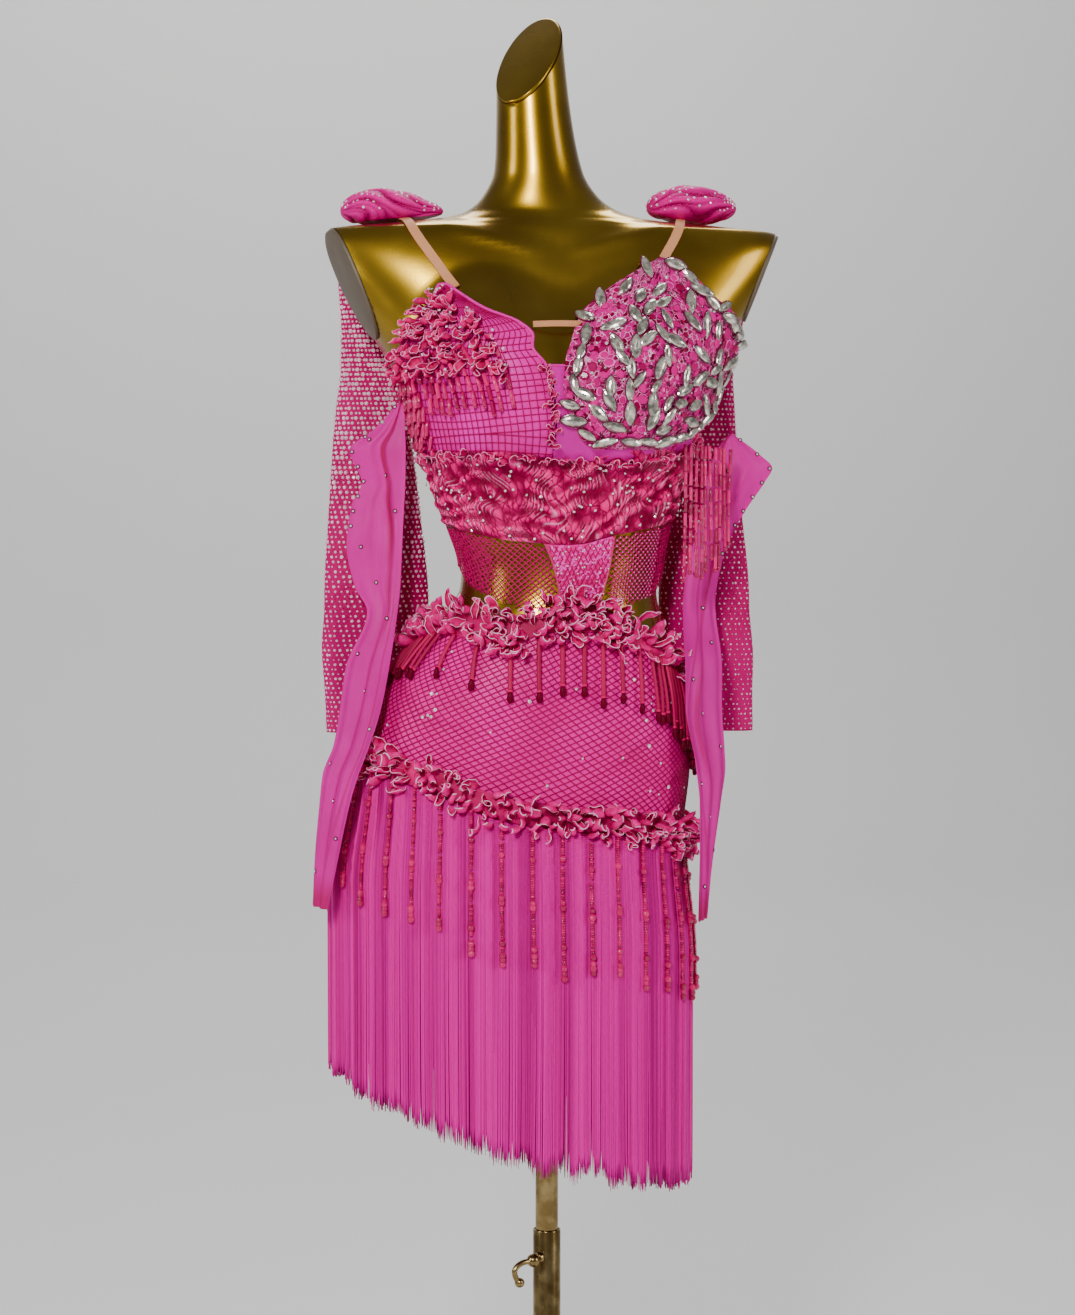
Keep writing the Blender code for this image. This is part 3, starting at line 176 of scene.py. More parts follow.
CUP_LEFT_LIFT = 0.0062
CUP_LEFT_STAND = 0.009
CUP_LEFT_REACH = math.radians(84)
CUP_LEFT_EDGE_HEIGHTS = np.linspace(1.171, 1.3415, 60)

# Sprays of pointed stones: across and height of the hub, first heading in degrees, bend, stones.
STONE_SPRAYS = ((0.062, 1.18, 152, -0.22, 4), (0.062, 1.18, 122, 0.12, 7), (0.06, 1.182, 98, -0.12, 8),
                (0.062, 1.18, 74, 0.1, 8), (0.066, 1.182, 50, -0.1, 7), (0.07, 1.18, 22, 0.16, 5),
                (0.056, 1.326, -118, 0.2, 3), (0.06, 1.322, -52, -0.16, 4), (0.03, 1.262, 40, 0.2, 3))

# Bugle curtains: name, strands, turns, heights and lengths at both ends, lift, node, radius.
BUGLE_CURTAINS = (
    ("cup_bugles", 11, (-58, -19), (1.252, 1.262), (0.048, 0.058), 0.007, "cup_bead_fringe", 0.0021),
    ("side_bugles", 10, (-88, -66), (1.24, 1.246), (0.082, 0.07), 0.0066, "side_bead_fringe", 0.0019))

# Sleeves, from the shoulder down: height, x and y of the middle, half width, half depth, turn.
SLEEVE_COLUMNS = ("x", "y", "half_width", "half_depth", "turn")
SLEEVE_RIGHT = np.array((
    (1.378, -0.15, 0.066, 0.034, 0.0092, 0.0),
    (1.355, -0.154, 0.0796, 0.035, 0.0102, 0.0),
    (1.33, -0.1545, 0.089, 0.034, 0.0112, 0.0),
    (1.29, -0.155, 0.086, 0.031, 0.012, 0.0),
    (1.25, -0.158, 0.072, 0.029, 0.014, 0.0),
    (1.214, -0.158, 0.058, 0.034, 0.016, 5.0),
    (1.122, -0.1565, 0.042, 0.0435, 0.018, 8.0),
    (1.03, -0.1545, 0.045, 0.0505, 0.019, 10.0),
    (0.984, -0.164, 0.062, 0.044, 0.019, 18.0),
    (0.945, -0.166, 0.085, 0.04, 0.0185, 26.0),
    (0.907, -0.168, 0.102, 0.037, 0.018, 32.0)))
SLEEVE_LEFT = np.array((
    (1.378, 0.158, 0.066, 0.034, 0.0092, 0.0),
    (1.355, 0.162, 0.0796, 0.038, 0.0102, 0.0),
    (1.33, 0.164, 0.089, 0.04, 0.0112, 0.0),
    (1.29, 0.162, 0.089, 0.037, 0.012, 0.0),
    (1.25, 0.157, 0.082, 0.032, 0.013, 0.0),
    (1.214, 0.157, 0.068, 0.031, 0.015, -5.0),
    (1.122, 0.154, 0.05, 0.037, 0.0175, -8.0),
    (1.03, 0.154, 0.044, 0.044, 0.019, -10.0),
    (0.984, 0.16, 0.05, 0.043, 0.019, -14.0),
    (0.945, 0.1645, 0.064, 0.041, 0.018, -18.0),
    (0.907, 0.169, 0.078, 0.04, 0.018, -22.0)))
SLEEVE_SQUARENESS = 2.3

# Satin overlays: height, x and y of the outer edge, x and y of the inner edge.
OVERLAY_COLUMNS = ("outer_x", "outer_y", "inner_x", "inner_y")
OVERLAY_RIGHT = np.array((
    (1.216, -0.135, -0.004, -0.1315, -0.01),
    (1.19, -0.159, -0.002, -0.131, -0.012),
    (1.172, -0.181, 0.0, -0.1305, -0.014),
    (1.142, -0.17, 0.0, -0.131, -0.014),
    (1.122, -0.179, 0.0, -0.132, -0.014),
    (1.085, -0.184, 0.0, -0.134, -0.016),
    (1.048, -0.177, -0.002, -0.136, -0.018),
    (1.025, -0.166, -0.005, -0.139, -0.022),
    (0.975, -0.186, -0.012, -0.148, -0.044),
    (0.938, -0.192, -0.024, -0.157, -0.064),
    (0.906, -0.198, -0.034, -0.168, -0.074),
    (0.88, -0.208, -0.038, -0.178, -0.078),
    (0.855, -0.211, -0.038, -0.185, -0.078),
    (0.8, -0.216, -0.034, -0.196, -0.074),
    (0.76, -0.218, -0.032, -0.203, -0.066)))
OVERLAY_LEFT = np.array((
    (1.187, 0.173, -0.002, 0.168, -0.006),
    (1.168, 0.1985, 0.0, 0.154, -0.01),
    (1.156, 0.2105, 0.001, 0.15, -0.011),
    (1.144, 0.204, 0.0, 0.146, -0.012),
    (1.116, 0.185, 0.0, 0.142, -0.013),
    (1.092, 0.1715, -0.001, 0.136, -0.014),
    (1.073, 0.1645, -0.002, 0.13, -0.016),
    (1.03, 0.157, -0.005, 0.1225, -0.027),
    (0.975, 0.161, -0.02, 0.1185, -0.066),
    (0.938, 0.16, -0.026, 0.118, -0.072),
    (0.883, 0.162, -0.032, 0.1275, -0.072),
    (0.855, 0.158, -0.036, 0.1305, -0.072),
    (0.803, 0.15, -0.04, 0.131, -0.069),
    (0.744, 0.144, -0.04, 0.131, -0.066)))
OVERLAY_FOLDS = 2.5
OVERLAY_FOLD_DEPTH = 0.0036
OVERLAY_FOLD_DRIFT = 1.3
OVERLAY_FOLD_WIDTH = 0.04
OVERLAY_CREASE = {1: ((0.0, 0.12, 0.28, 0.5, 0.75, 1.0), (0.62, 0.6, 0.8, 0.62, 0.5, 0.4)),
                  -1: ((0.0, 0.3, 0.42, 0.6, 0.8, 1.0), (0.95, 0.3, 0.52, 0.74, 0.5, 0.4))}
OVERLAY_CREASE_DEPTH = ((0, 0.05, 0.25, 0.34, 0.8, 0.95, 1), (1, 1, 1, 0.55, 0.5, 0.1, 0))

UNDERARM = {"top": 1.166, "foot": 1.042, "inner": (0.114, -0.08), "outer": (0.164, -0.037)}

# Places on the form that a strap is laid over: x, y, height.
STRAP_RIGHT = ((-0.0965, -0.074, 1.323), (-0.109, -0.068, 1.342), (-0.123, -0.052, 1.363),
               (-0.13, -0.03, 1.374), (-0.132, 0.0, 1.377), (-0.128, 0.035, 1.372),
               (-0.118, 0.068, 1.345), (-0.104, 0.085, 1.3), (-0.086, 0.092, 1.25),
               (-0.07, 0.092, 1.2), (-0.062, 0.09, 1.1665))
STRAP_LEFT = ((0.102, -0.062, 1.349), (0.11, -0.055, 1.362), (0.118, -0.03, 1.375),
              (0.122, 0.0, 1.378), (0.122, 0.035, 1.373), (0.114, 0.068, 1.345),
              (0.102, 0.085, 1.3), (0.088, 0.092, 1.25), (0.076, 0.092, 1.2),
              (0.07, 0.09, 1.1665))
CHEST_STRAP = ((-6.2, 1.279), (0.2, 1.28))
# Rolls on the shoulders: name, middle, side, how far the tail is drawn out.
ROLLS = (("roll_right", (-0.1465, 0.006, 1.39), -1, 0.011), ("roll_left", (0.134, 0.006, 1.396), 1, 0.002))
ROLL_HALF = (0.042, 0.03, 0.0175)

# Stand
BASE_RADIUS = 0.18
BASE_HEIGHT = 0.009
HUB_RADIUS = 0.034
HUB_TOP = 0.052
TUBE_RADIUS = 0.01285
TUBE_BORE = 0.0109
TUBE_TOP = 0.448
MAST_RADIUS = 0.0106
MAST_FOOT = 0.28
SWIVEL_RADIUS = 0.045
SWIVEL_HEIGHT = 0.006
SEAM = 0.0003
CLAMP_HEIGHT = 0.4236
CLAMP_HEADING = math.radians(36.5)
CLAMP_BALL_REACH = 0.0248
CLAMP_BAR_TURN = math.radians(27.6)
CLAMP_BAR = ((0.0, 0.0), (0.009, 0.0), (0.0165, 0.0022), (0.0205, 0.0075), (0.019, 0.0135),
             (0.015, 0.0185))
CLAMP_SEAT = ((0.0046, 0.0), (0.0052, 0.0005), (0.0052, 0.0012), (0.0047, 0.002), (0.0042, 0.0036),
              (0.004, 0.004), (0.0036, 0.0042))
CAMERA_PLACE = (-0.2717, -2.3846, 1.12)
CAMERA_AIM = (-0.0087, 0.0, 0.9815)
CAMERA_LENS = 71.42             # millimetres, on a 36 mm high film


# ---------------------------------------------------------------- curves and sections
def smooth(places, values, at):
    """Cubic curve through a table that never overshoots it: slopes are harmonic means."""
    places, values = np.asarray(places, float), np.asarray(values, float)
    at = np.clip(np.asarray(at, float), places[0], places[-1])
    steps = np.diff(places)
    rates = np.diff(values) / steps
    slopes = np.zeros(len(places))
    same_way = rates[:-1] * rates[1:] > 0
    left, right = rates[:-1][same_way], rates[1:][same_way]
    slopes[1:-1][same_way] = 2 * left * right / (left + right)
    slopes[0], slopes[-1] = rates[0], rates[-1]
    cell = np.clip(np.searchsorted(places, at, side="right") - 1, 0, len(steps) - 1)
    step = steps[cell]
    t = (at - places[cell]) / step
    return ((2 * t**3 - 3 * t**2 + 1) * values[cell] + (t**3 - 2 * t**2 + t) * step * slopes[cell]
            + (3 * t**2 - 2 * t**3) * values[cell + 1] + (t**3 - t**2) * step * slopes[cell + 1])


def columns_at(table, names, at):
    """Columns of a table, by name, as smooth curves of its first column."""
    return {name: smooth(table[:, 0], values, at) for name, values in zip(names, table.T[1:])}


def edge_line(table, turns):
    """Height of a slanted edge line at the given turns, in radians."""
    return smooth(table[:, 0], table[:, 1], np.degrees(turns))


def cup_edge(table, number, heights, shift=0.0):
    """Turns of the outer (1) or inner (2) edge of a table by height, moved by a shift in degrees."""
    return np.radians(smooth(table[:, 0], table[:, number], heights) + shift)


def between(first, second, share):
    return first * (1 - share) + second * share


def xyz(*parts):
    """One array of points from coordinates that may need spreading over each other."""
    return np.stack(np.broadcast_arrays(*parts), axis=-1)


def unit(vectors):
    return vectors / np.maximum(np.linalg.norm(vectors, axis=-1, keepdims=True), 1e-12)


def run_along(path):
    """Length along a path up to each of its points."""
    return np.concatenate(([0.0], np.cumsum(np.linalg.norm(np.diff(path, axis=0), axis=1))))


def power(value, exponent):
    """Power that keeps the sign."""
    return np.sign(value) * np.abs(value) ** exponent


def ease(share):
    """0 to 1 with a level start and end."""
    share = np.clip(share, 0, 1)
    return share**2 * (3 - 2 * share)


def on_form(turns, heights, lift=0.0):
    """Points of the form's surface, pushed out level by lift.

    A level section is an oval: x = middle + half width * sin(turn)^(2/n) and
    y = -depth * cos(turn)^(2/n); two soft rises for the bust are taken off y.
    """
    turns, heights = np.broadcast_arrays(np.asarray(turns, float), np.asarray(heights, float))
    section = columns_at(FORM_SECTIONS, FORM_COLUMNS, heights)
    exponent = 2 / section["squareness"]
    ahead = np.cos(turns)
    depth = np.where(ahead > 0, section["front"], section["back"]) + lift
    across = power(np.sin(turns), exponent)
    x = section["middle"] + (section["half_width"] + lift) * across
    y = -depth * power(ahead, exponent)
    side = np.hypot(section["half_width"] * across, BUST["valley"]) - BUST["spread"]
    side = side / BUST["reach_x"]
    rise = heights - BUST["height"]
    rise = rise / np.where(rise > 0, BUST["reach_up"], BUST["reach_down"])
    y = y - BUST["rise"] * ease(1 - side**2 - rise**2) * np.clip(ahead, 0, 1) ** 0.5
    return xyz(x, y, heights)


def level_outward(turns, heights, lift=0.0):
    """Level unit vectors square to the form's section."""
    nudge = 0.01
    along = on_form(turns + nudge, heights, lift) - on_form(turns - nudge, heights, lift)
    return unit(xyz(along[..., 1], -along[..., 0], 0.0))


def facing_of(turns, heights):
    """Unit normals of the form: the cross product of its run round and its run up."""
    nudge = 0.004
    along = on_form(turns + nudge, heights) - on_form(turns - nudge, heights)
    up = on_form(turns, heights + nudge) - on_form(turns, heights - nudge)
    return unit(np.cross(along, up))


def reshape_turns(turns, exponent):
    """Bend turns within each quarter: the tangent is raised to a power."""
    quarter = np.floor(turns / (math.pi / 2) + 1e-9)
    within = np.clip(turns - quarter * math.pi / 2, 0, math.pi / 2)
    bent = np.arctan2(np.sin(within) ** exponent, np.cos(within) ** exponent)
    return quarter * math.pi / 2 + bent


def even_turns(start, stop, count):
    """Turns from start to stop (degrees) that lie evenly along the form's sections."""
    first, last = reshape_turns(np.radians((start, stop)), 1 / EVEN_POWER)
    return reshape_turns(np.linspace(first, last, count), EVEN_POWER)


def wrap_turn(turns):
    """The same turns between -180 and 180 degrees."""
    return (turns + math.pi) % (2 * math.pi) - math.pi


def whole_turn(count):
    """Angles evenly round a circle."""
    return 2 * math.pi * np.arange(count) / count


def soft_noise(a, b, seed, waves=6):
    """Smooth uneven field between about -1 and 1: a sum of sine waves that cross at odd angles."""
    dice = np.random.default_rng(seed)
    total = 0.0
    for _ in range(waves):
        angle, start = dice.uniform(0, 2 * math.pi, 2)
        rate = dice.uniform(0.6, 1.7)
        total = total + np.sin(rate * (a * math.cos(angle) + b * math.sin(angle)) + start)
    return total / math.sqrt(waves / 2) / 2


# ---------------------------------------------------------------- meshes and pieces
def fill_mesh(name, corners, face_sets, rounded=True, corner_uv=None, loop_uv=None, values=None, sharp=None):
    """A mesh from an array of corners and arrays of faces, each array with one face size.

    Edges sharper than sharp degrees stay sharp.
    """
    corners = np.asarray(corners, np.float32).reshape(-1, 3)
    face_sets = [np.asarray(faces, np.int32) for faces in face_sets]
    loops = np.concatenate([faces.ravel() for faces in face_sets])
    sizes = np.concatenate([np.full(len(faces), faces.shape[1]) for faces in face_sets])
    mesh = bpy.data.meshes.new(name)
    mesh.vertices.add(len(corners))
    mesh.vertices.foreach_set("co", corners.ravel())
    mesh.loops.add(len(loops))
    mesh.loops.foreach_set("vertex_index", loops)
    mesh.polygons.add(len(sizes))
    starts = np.concatenate(([0], np.cumsum(sizes)[:-1]))
    mesh.polygons.foreach_set("loop_start", starts.astype(np.int32))
    mesh.update(calc_edges=True)
    if corner_uv is not None:
        loop_uv = np.asarray(corner_uv, np.float32).reshape(-1, 2)[loops]
    if loop_uv is not None:
        layer = mesh.uv_layers.new(name="pattern")
        layer.uv.foreach_set("vector", np.asarray(loop_uv, np.float32).ravel())
    for title, numbers in (values or {}).items():
        attribute = mesh.attributes.new(title, "FLOAT", "POINT")
        attribute.data.foreach_set("value", np.asarray(numbers, np.float32).ravel())
    mesh.polygons.foreach_set("use_smooth", np.full(len(sizes), rounded))
    if sharp:
        mesh.set_sharp_from_angle(angle=math.radians(sharp))
    return mesh


def add_piece(name, mesh, material, body="form", nodes=()):
    """Link a piece, give it its finish, and tie it to its body and the CAD nodes it stands for."""
    item = bpy.data.objects.new(name, mesh)
    bpy.context.scene.collection.objects.link(item)
    mesh.materials.append(material)
    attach(item, body)
    if nodes:
        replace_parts(item, *nodes)
    return item


def add_wall(item, thickness, offset):
    wall = item.modifiers.new("wall", "SOLIDIFY")
    wall.thickness = thickness
    wall.offset = offset


def grid_faces(rows, columns, closed=False):
    """Quads of a grid of points, row by row; a closed grid joins its last column to the first."""
    last = columns if closed else columns - 1
    row, start = np.meshgrid(np.arange(rows - 1), np.arange(last), indexing="ij")
    stop = (start + 1) % columns
    lower, upper = row * columns, (row + 1) * columns
    return np.stack((lower + start, lower + stop, upper + stop, upper + start), axis=-1).reshape(-1, 4)


def ring_faces(rings, sides):
    """Faces of a closed run of rings: its walls, then the two that fill its ends."""
    ring = np.arange(sides)
    return [grid_faces(rings, sides, closed=True), np.stack((ring[::-1], ring + sides * (rings - 1)))]


def grid_uv(points, closed=False):
    """Loop UVs in metres: run along the middle row across, and along the middle column up."""
    rows, columns = points.shape[:2]
    middle_row = points[rows // 2]
    if closed:
        middle_row = np.concatenate((middle_row, middle_row[:1]))
    across = run_along(middle_row)
    uv = np.stack(np.meshgrid(across, run_along(points[:, columns // 2])), axis=-1)
    return uv.reshape(-1, 2)[grid_faces(rows, len(across)).ravel()]


def cloth_piece(name, points, material, nodes=(), closed=False, thickness=CLOTH, values=None):
    """A thin shell of cloth: an open grid of points, thickened inwards."""
    mesh = fill_mesh(name, points, [grid_faces(*points.shape[:2], closed)],
                     loop_uv=grid_uv(points, closed), values=values)
    item = add_piece(name, mesh, material, nodes=nodes)
    add_wall(item, thickness, -1.0)
    return item


def ringed_piece(name, points, material, sharp=None, values=None, nodes=()):
    """A solid run of rings with a pattern on its walls."""
    rows, columns = points.shape[:2]
    uv = np.concatenate((grid_uv(points, closed=True), np.zeros((2 * columns, 2))))
    mesh = fill_mesh(name, points, ring_faces(rows, columns), loop_uv=uv, values=values, sharp=sharp)
    return add_piece(name, mesh, material, nodes=nodes)


def declare_sheet(rests_on=None, with_pieces=None):
    """Gather what a sheet rests on and the pieces that go with it; nothing is done with them.
    """
    given = {"rests_on": rests_on} if rests_on else {}
    if with_pieces:
        given["with_pieces"] = with_pieces


def tube_mesh(name, paths, outward, half_width, half_depth, sides=3, keep=None, values=None):
    """Many threads at once: a ring of sides round each path point, in the plane square to it.

    paths and outward are arrays (threads, points, 3); the half sizes may vary along them.
    keep says which points are drawn; a thread breaks where it is false.
    """
    threads, count = paths.shape[:2]
    along = unit(np.gradient(paths, axis=1))
    across = unit(np.cross(along, outward))
    out = np.cross(across, along)
    angle = 2 * math.pi * (np.arange(sides) + 0.5) / sides + math.pi / 2
    half_width, half_depth = (np.broadcast_to(half, (threads, count))[..., None, None]
                              for half in (half_width, half_depth))
    rings = (paths[:, :, None, :] + across[:, :, None, :] * np.cos(angle)[:, None] * half_width
             + out[:, :, None, :] * np.sin(angle)[:, None] * half_depth)
    index = np.arange(threads * count * sides).reshape(threads, count, sides)
    after = np.roll(index, -1, axis=2)
    quads = np.stack((index[:, :-1], index[:, 1:], after[:, 1:], after[:, :-1]), axis=-1)
    drawn = np.ones((threads, count), bool) if keep is None else keep
    starts = drawn & ~np.pad(drawn, ((0, 0), (1, 0)))[:, :-1]
    ends = drawn & ~np.pad(drawn, ((0, 0), (0, 1)))[:, 1:]
    face_sets = [quads[drawn[:, :-1] & drawn[:, 1:]].reshape(-1, 4),
                 index[starts & ~ends], index[ends & ~starts][:, ::-1]]
    lengths = np.concatenate((np.zeros((threads, 1)),
                              np.cumsum(np.linalg.norm(np.diff(paths, axis=1), axis=-1), axis=1)), axis=1)
    uv = xyz(np.arange(sides) / sides, lengths[:, :, None])
    used = np.zeros(index.size, bool)
    for faces in face_sets:
        used[faces.ravel()] = True
    order = np.cumsum(used) - 1
    spread = {title: np.repeat(numbers.reshape(threads, -1) * np.ones((1, count)), sides,
                               axis=1).reshape(-1)[used] for title, numbers in (values or {}).items()}
    return fill_mesh(name, rings.reshape(-1, 3)[used], [order[faces] for faces in face_sets if len(faces)],
                     corner_uv=uv.reshape(-1, 2)[used], values=spread)


def scatter_piece(name, shape, origins, along, outward, sizes, material, rounded=False, values=None,
                  nodes=(), sharp=None):
    """Copies of a small closed shape: x along, y across, z outward, each with its own size."""
    corners, face_sets = shape
    along = unit(along - outward * (along * outward).sum(-1, keepdims=True))
    axes = np.stack((along, np.cross(outward, along), outward), axis=1)
    sizes = np.broadcast_to(sizes, origins.shape)
    placed = origins[:, None, :] + np.einsum("kj,njc->nkc", corners, axes * sizes[:, :, None])
    shift = (np.arange(len(origins)) * len(corners))[:, None, None]
    spread = {title: np.repeat(numbers, len(corners)) for title, numbers in (values or {}).items()}
    mesh = fill_mesh(name, placed, [(faces[None] + shift).reshape(-1, faces.shape[1])
                                    for faces in face_sets], rounded=rounded, values=spread, sharp=sharp)
    return add_piece(name, mesh, material, nodes=nodes)


def ringed_shape(rings, sides):
    """A closed shape of rings (radius, height) round z, its first and last ring filled."""
    angle = whole_turn(sides)
    corners = np.concatenate([xyz(radius * np.cos(angle), radius * np.sin(angle), height)
                              for radius, height in rings])
    return corners, ring_faces(len(rings), sides)


def bead_shape(sides, rings):
    """A bead that lies along x."""
    corners, face_sets = ringed_shape(rings, sides)
    return corners[:, (2, 0, 1)], face_sets


def pointed_stone():
    """A pointed oval stone with a smooth rounded top and a flat underside."""
    angle = whole_turn(16)
    x = np.cos(angle)
    y = np.sin(angle) * (1 - 0.34 * np.abs(x) ** 2.5)
    steps = ((1.0, 0.5, 0.0), (0.99, 0.49, 0.06), (0.9, 0.42, 0.16), (0.64, 0.25, 0.26), (0.32, 0.08, 0.3))
    return (np.concatenate([xyz(long * x, wide * y, high) for long, wide, high in steps]),
            ring_faces(len(steps), len(angle)))


ROUND_STONE = ringed_shape(((1.0, 0.0), (0.92, 0.25), (0.5, 0.55)), 6)
DOT_STONE = ringed_shape(((1.0, 0.0), (0.62, 0.55)), 5)
CUT_STONE = ringed_shape(((1.0, 0.0), (1.0, 0.1), (0.62, 0.42)), 8)
POINTED_STONE = pointed_stone()
DISC = ringed_shape(((1.0, 0.0), (1.0, 0.12)), 8)
SEED_BEAD = bead_shape(5, ((0.45, -0.5), (1.0, -0.28), (1.0, 0.28), (0.45, 0.5)))
BUGLE = bead_shape(6, ((0.75, -0.5), (1.0, -0.47), (1.0, 0.47), (0.75, 0.5)))
ROUND_BEAD = bead_shape(8, ((0.25, -0.97), (0.7, -0.71), (0.96, -0.27), (0.96, 0.27), (0.7, 0.71),
                            (0.25, 0.97)))
DROP_TIP = bead_shape(6, ((0.45, -0.5), (0.8, -0.2), (1.0, 0.15), (0.8, 0.42), (0.35, 0.5)))


# ---------------------------------------------------------------- finishes
class Finish:
    """A Principled material and the nodes that feed it; sockets are named with _ for a space."""

    def __init__(self, name, colour, roughness, metallic=0.0, **sockets):
        self.material = bpy.data.materials.new(name)
        self.material.use_nodes = True
        self.tree = self.material.node_tree
        self.shader = self.tree.nodes["Principled BSDF"]
        sockets.update(Base_Color=colour, Roughness=roughness, Metallic=metallic)
        for title, value in sockets.items():
            self.feed(self.shader.inputs[title.replace("_", " ")], value)

    def feed(self, socket, value):
        """Set a socket to a value or a colour, or link another node's output to it."""
        if isinstance(value, bpy.types.NodeSocket):
            self.tree.links.new(value, socket)
        else:
            socket.default_value = (*value, 1) if socket.type == "RGBA" else value

    def node(self, kind, output, inputs=None, **settings):
        item = self.tree.nodes.new("ShaderNode" + kind)
        for title, value in settings.items():
            setattr(item, title, value)
        for socket, value in (inputs or {}).items():
            self.feed(item.inputs[socket], value)
        return item.outputs[output]

    def place(self, kind="Object"):
        return self.node("TexCoord", kind)

    def attribute(self, title):
        return self.node("Attribute", "Fac", attribute_name=title)

    def noise(self, scale, detail=3.0):
        return self.node("TexNoise", "Fac", {"Vector": self.place(), "Scale": scale, "Detail": detail})

    def waves(self, scale, distortion=0.0, direction="X"):
        return self.node("TexWave", "Fac", {"Vector": self.place("UV"), "Scale": scale,
                                            "Distortion": distortion}, bands_direction=direction)

    def cell_edges(self, place, scale):
        """Distance to the nearest edge in a pattern of cells."""
        return self.node("TexVoronoi", "Distance", {"Vector": place, "Scale": scale},
                         feature="DISTANCE_TO_EDGE")

    def axis(self, vector, number):
        return self.node("SeparateXYZ", number, {0: vector})

    def maths(self, operation, first, second=0.0):
        return self.node("Math", 0, {0: first, 1: second}, operation=operation)

    def ramp(self, value, low, high):
        """0 below low, 1 above high, soft between."""
        return self.node("MapRange", "Result", {"Value": value, "From Min": low, "From Max": high},
                         interpolation_type="SMOOTHSTEP")

    def blend(self, share, first, second):
        """Colour that goes from first to second; either may be a socket."""
        return self.node("Mix", 2, {"Factor": share, 6: first, 7: second}, data_type="RGBA")

    def cloudy(self, scale, low, high, first, second):
        """Two colours in soft clouds."""
        return self.blend(self.ramp(self.noise(scale), low, high), first, second)

    def colour(self, value):
        self.feed(self.shader.inputs["Base Color"], value)

    def uneven_gloss(self, noise, low, high):
        rough = self.node("MapRange", "Result", {"Value": noise, "To Min": low, "To Max": high})
        self.feed(self.shader.inputs["Roughness"], rough)

    def bump(self, height, distance, strength=1.0):
        bump = self.node("Bump", "Normal", {"Height": height, "Distance": distance, "Strength": strength})
        self.feed(self.shader.inputs["Normal"], bump)


def plain(name, colour, roughness, **sockets):
    return Finish(name, colour, roughness, **sockets).material


def gold_lacquer():
    gold = Finish("gold lacquer", (0.34, 0.19, 0.01), 0.27, 1.0, Coat_Weight=0.3, Coat_Roughness=0.06)
    gold.colour(gold.cloudy(9.0, 0.35, 0.68, (0.27, 0.15, 0.006), (0.44, 0.265, 0.018)))
    gold.uneven_gloss(gold.noise(14.0), 0.2, 0.34)
    gold.bump(gold.noise(420.0, 2.0), 0.00006, 0.5)
    return gold.material


def plate_taupe():
    taupe = Finish("taupe plate", (0.12, 0.085, 0.055), 0.5, 0.2)
    taupe.colour(taupe.blend(taupe.noise(26.0), (0.085, 0.06, 0.038), (0.16, 0.12, 0.08)))
    taupe.bump(taupe.noise(700.0), 0.0001, 0.6)
    return taupe.material


def antique_brass():
    brass = Finish("antique brass", (0.26, 0.17, 0.06), 0.24, 1.0)
    worn = brass.ramp(brass.noise(60.0, 5.0), 0.4, 0.66)
    brass.colour(brass.blend(worn, (0.2, 0.13, 0.045), (0.36, 0.26, 0.11)))
    brass.uneven_gloss(brass.noise(130.0), 0.16, 0.34)
    return brass.material


def satin(name, light, dark, roughness=0.36, crease_shade_and_dark_foot=False):
    """Satin: uneven colour, a fine weave across its own pattern, and a soft sheen."""
    cloth = Finish(name, light, roughness, Specular_IOR_Level=0.14)
    shade = cloth.cloudy(22.0, 0.3, 0.72, dark, light)
    # Optionally painted shade: dark red in the creases and darker towards the foot, where the attribute is
    # high.
    if crease_shade_and_dark_foot:
        shade = cloth.blend(cloth.attribute("crease_shade_and_dark_foot"), shade, (0.4, 0.0, 0.07))
    cloth.colour(shade)
    cloth.bump(cloth.waves(0.314 / 0.0006, 0.6), 0.00005, 0.35)
    return cloth.material


def fringe_thread():
    """Chain-stitched thread: each strand has its own tone from dark to light, with stitches along it; the
    dark tones paint shade where the inner layer shows between strands.
    """
    light = (0.92, 0.0, 0.4)
    thread = Finish("fringe thread", light, 0.45, Specular_IOR_Level=0.04)
    thread.colour(thread.blend(thread.attribute("shade"), (0.2, 0.0, 0.05), light))
    thread.bump(thread.waves(0.314 / 0.0016, 0.4, "Y"), 0.0003, 0.5)
    return thread.material


def petal_finish(name, deep, bright, edge):
    """Crinkled glossy petals: painted shade deep in the cup, a painted highlight along the free edges.

    The pattern runs 0 to 1 from root to tip and -1 to 1 across; the edge share is the larger of
    the run and the size of the across value.
    """
    petal = Finish(name, bright, 0.18, Specular_IOR_Level=0.1)
    run, across = (petal.axis(petal.place("UV"), number) for number in (0, 1))
    rim = petal.maths("MAXIMUM", petal.maths("ABSOLUTE", across), run)
    # Painted shade: the deep colour towards the petal's root.
    body = petal.blend(petal.ramp(run, 0.05, 0.75), deep, petal.cloudy(150.0, 0.3, 0.7, deep, bright))
    # Painted highlight: the edge colour along the petal's rim.
    petal.colour(petal.blend(petal.ramp(rim, 0.93, 1.0), body, edge))
    petal.bump(petal.noise(900.0, 2.0), 0.0004, 0.6)
    return petal.material


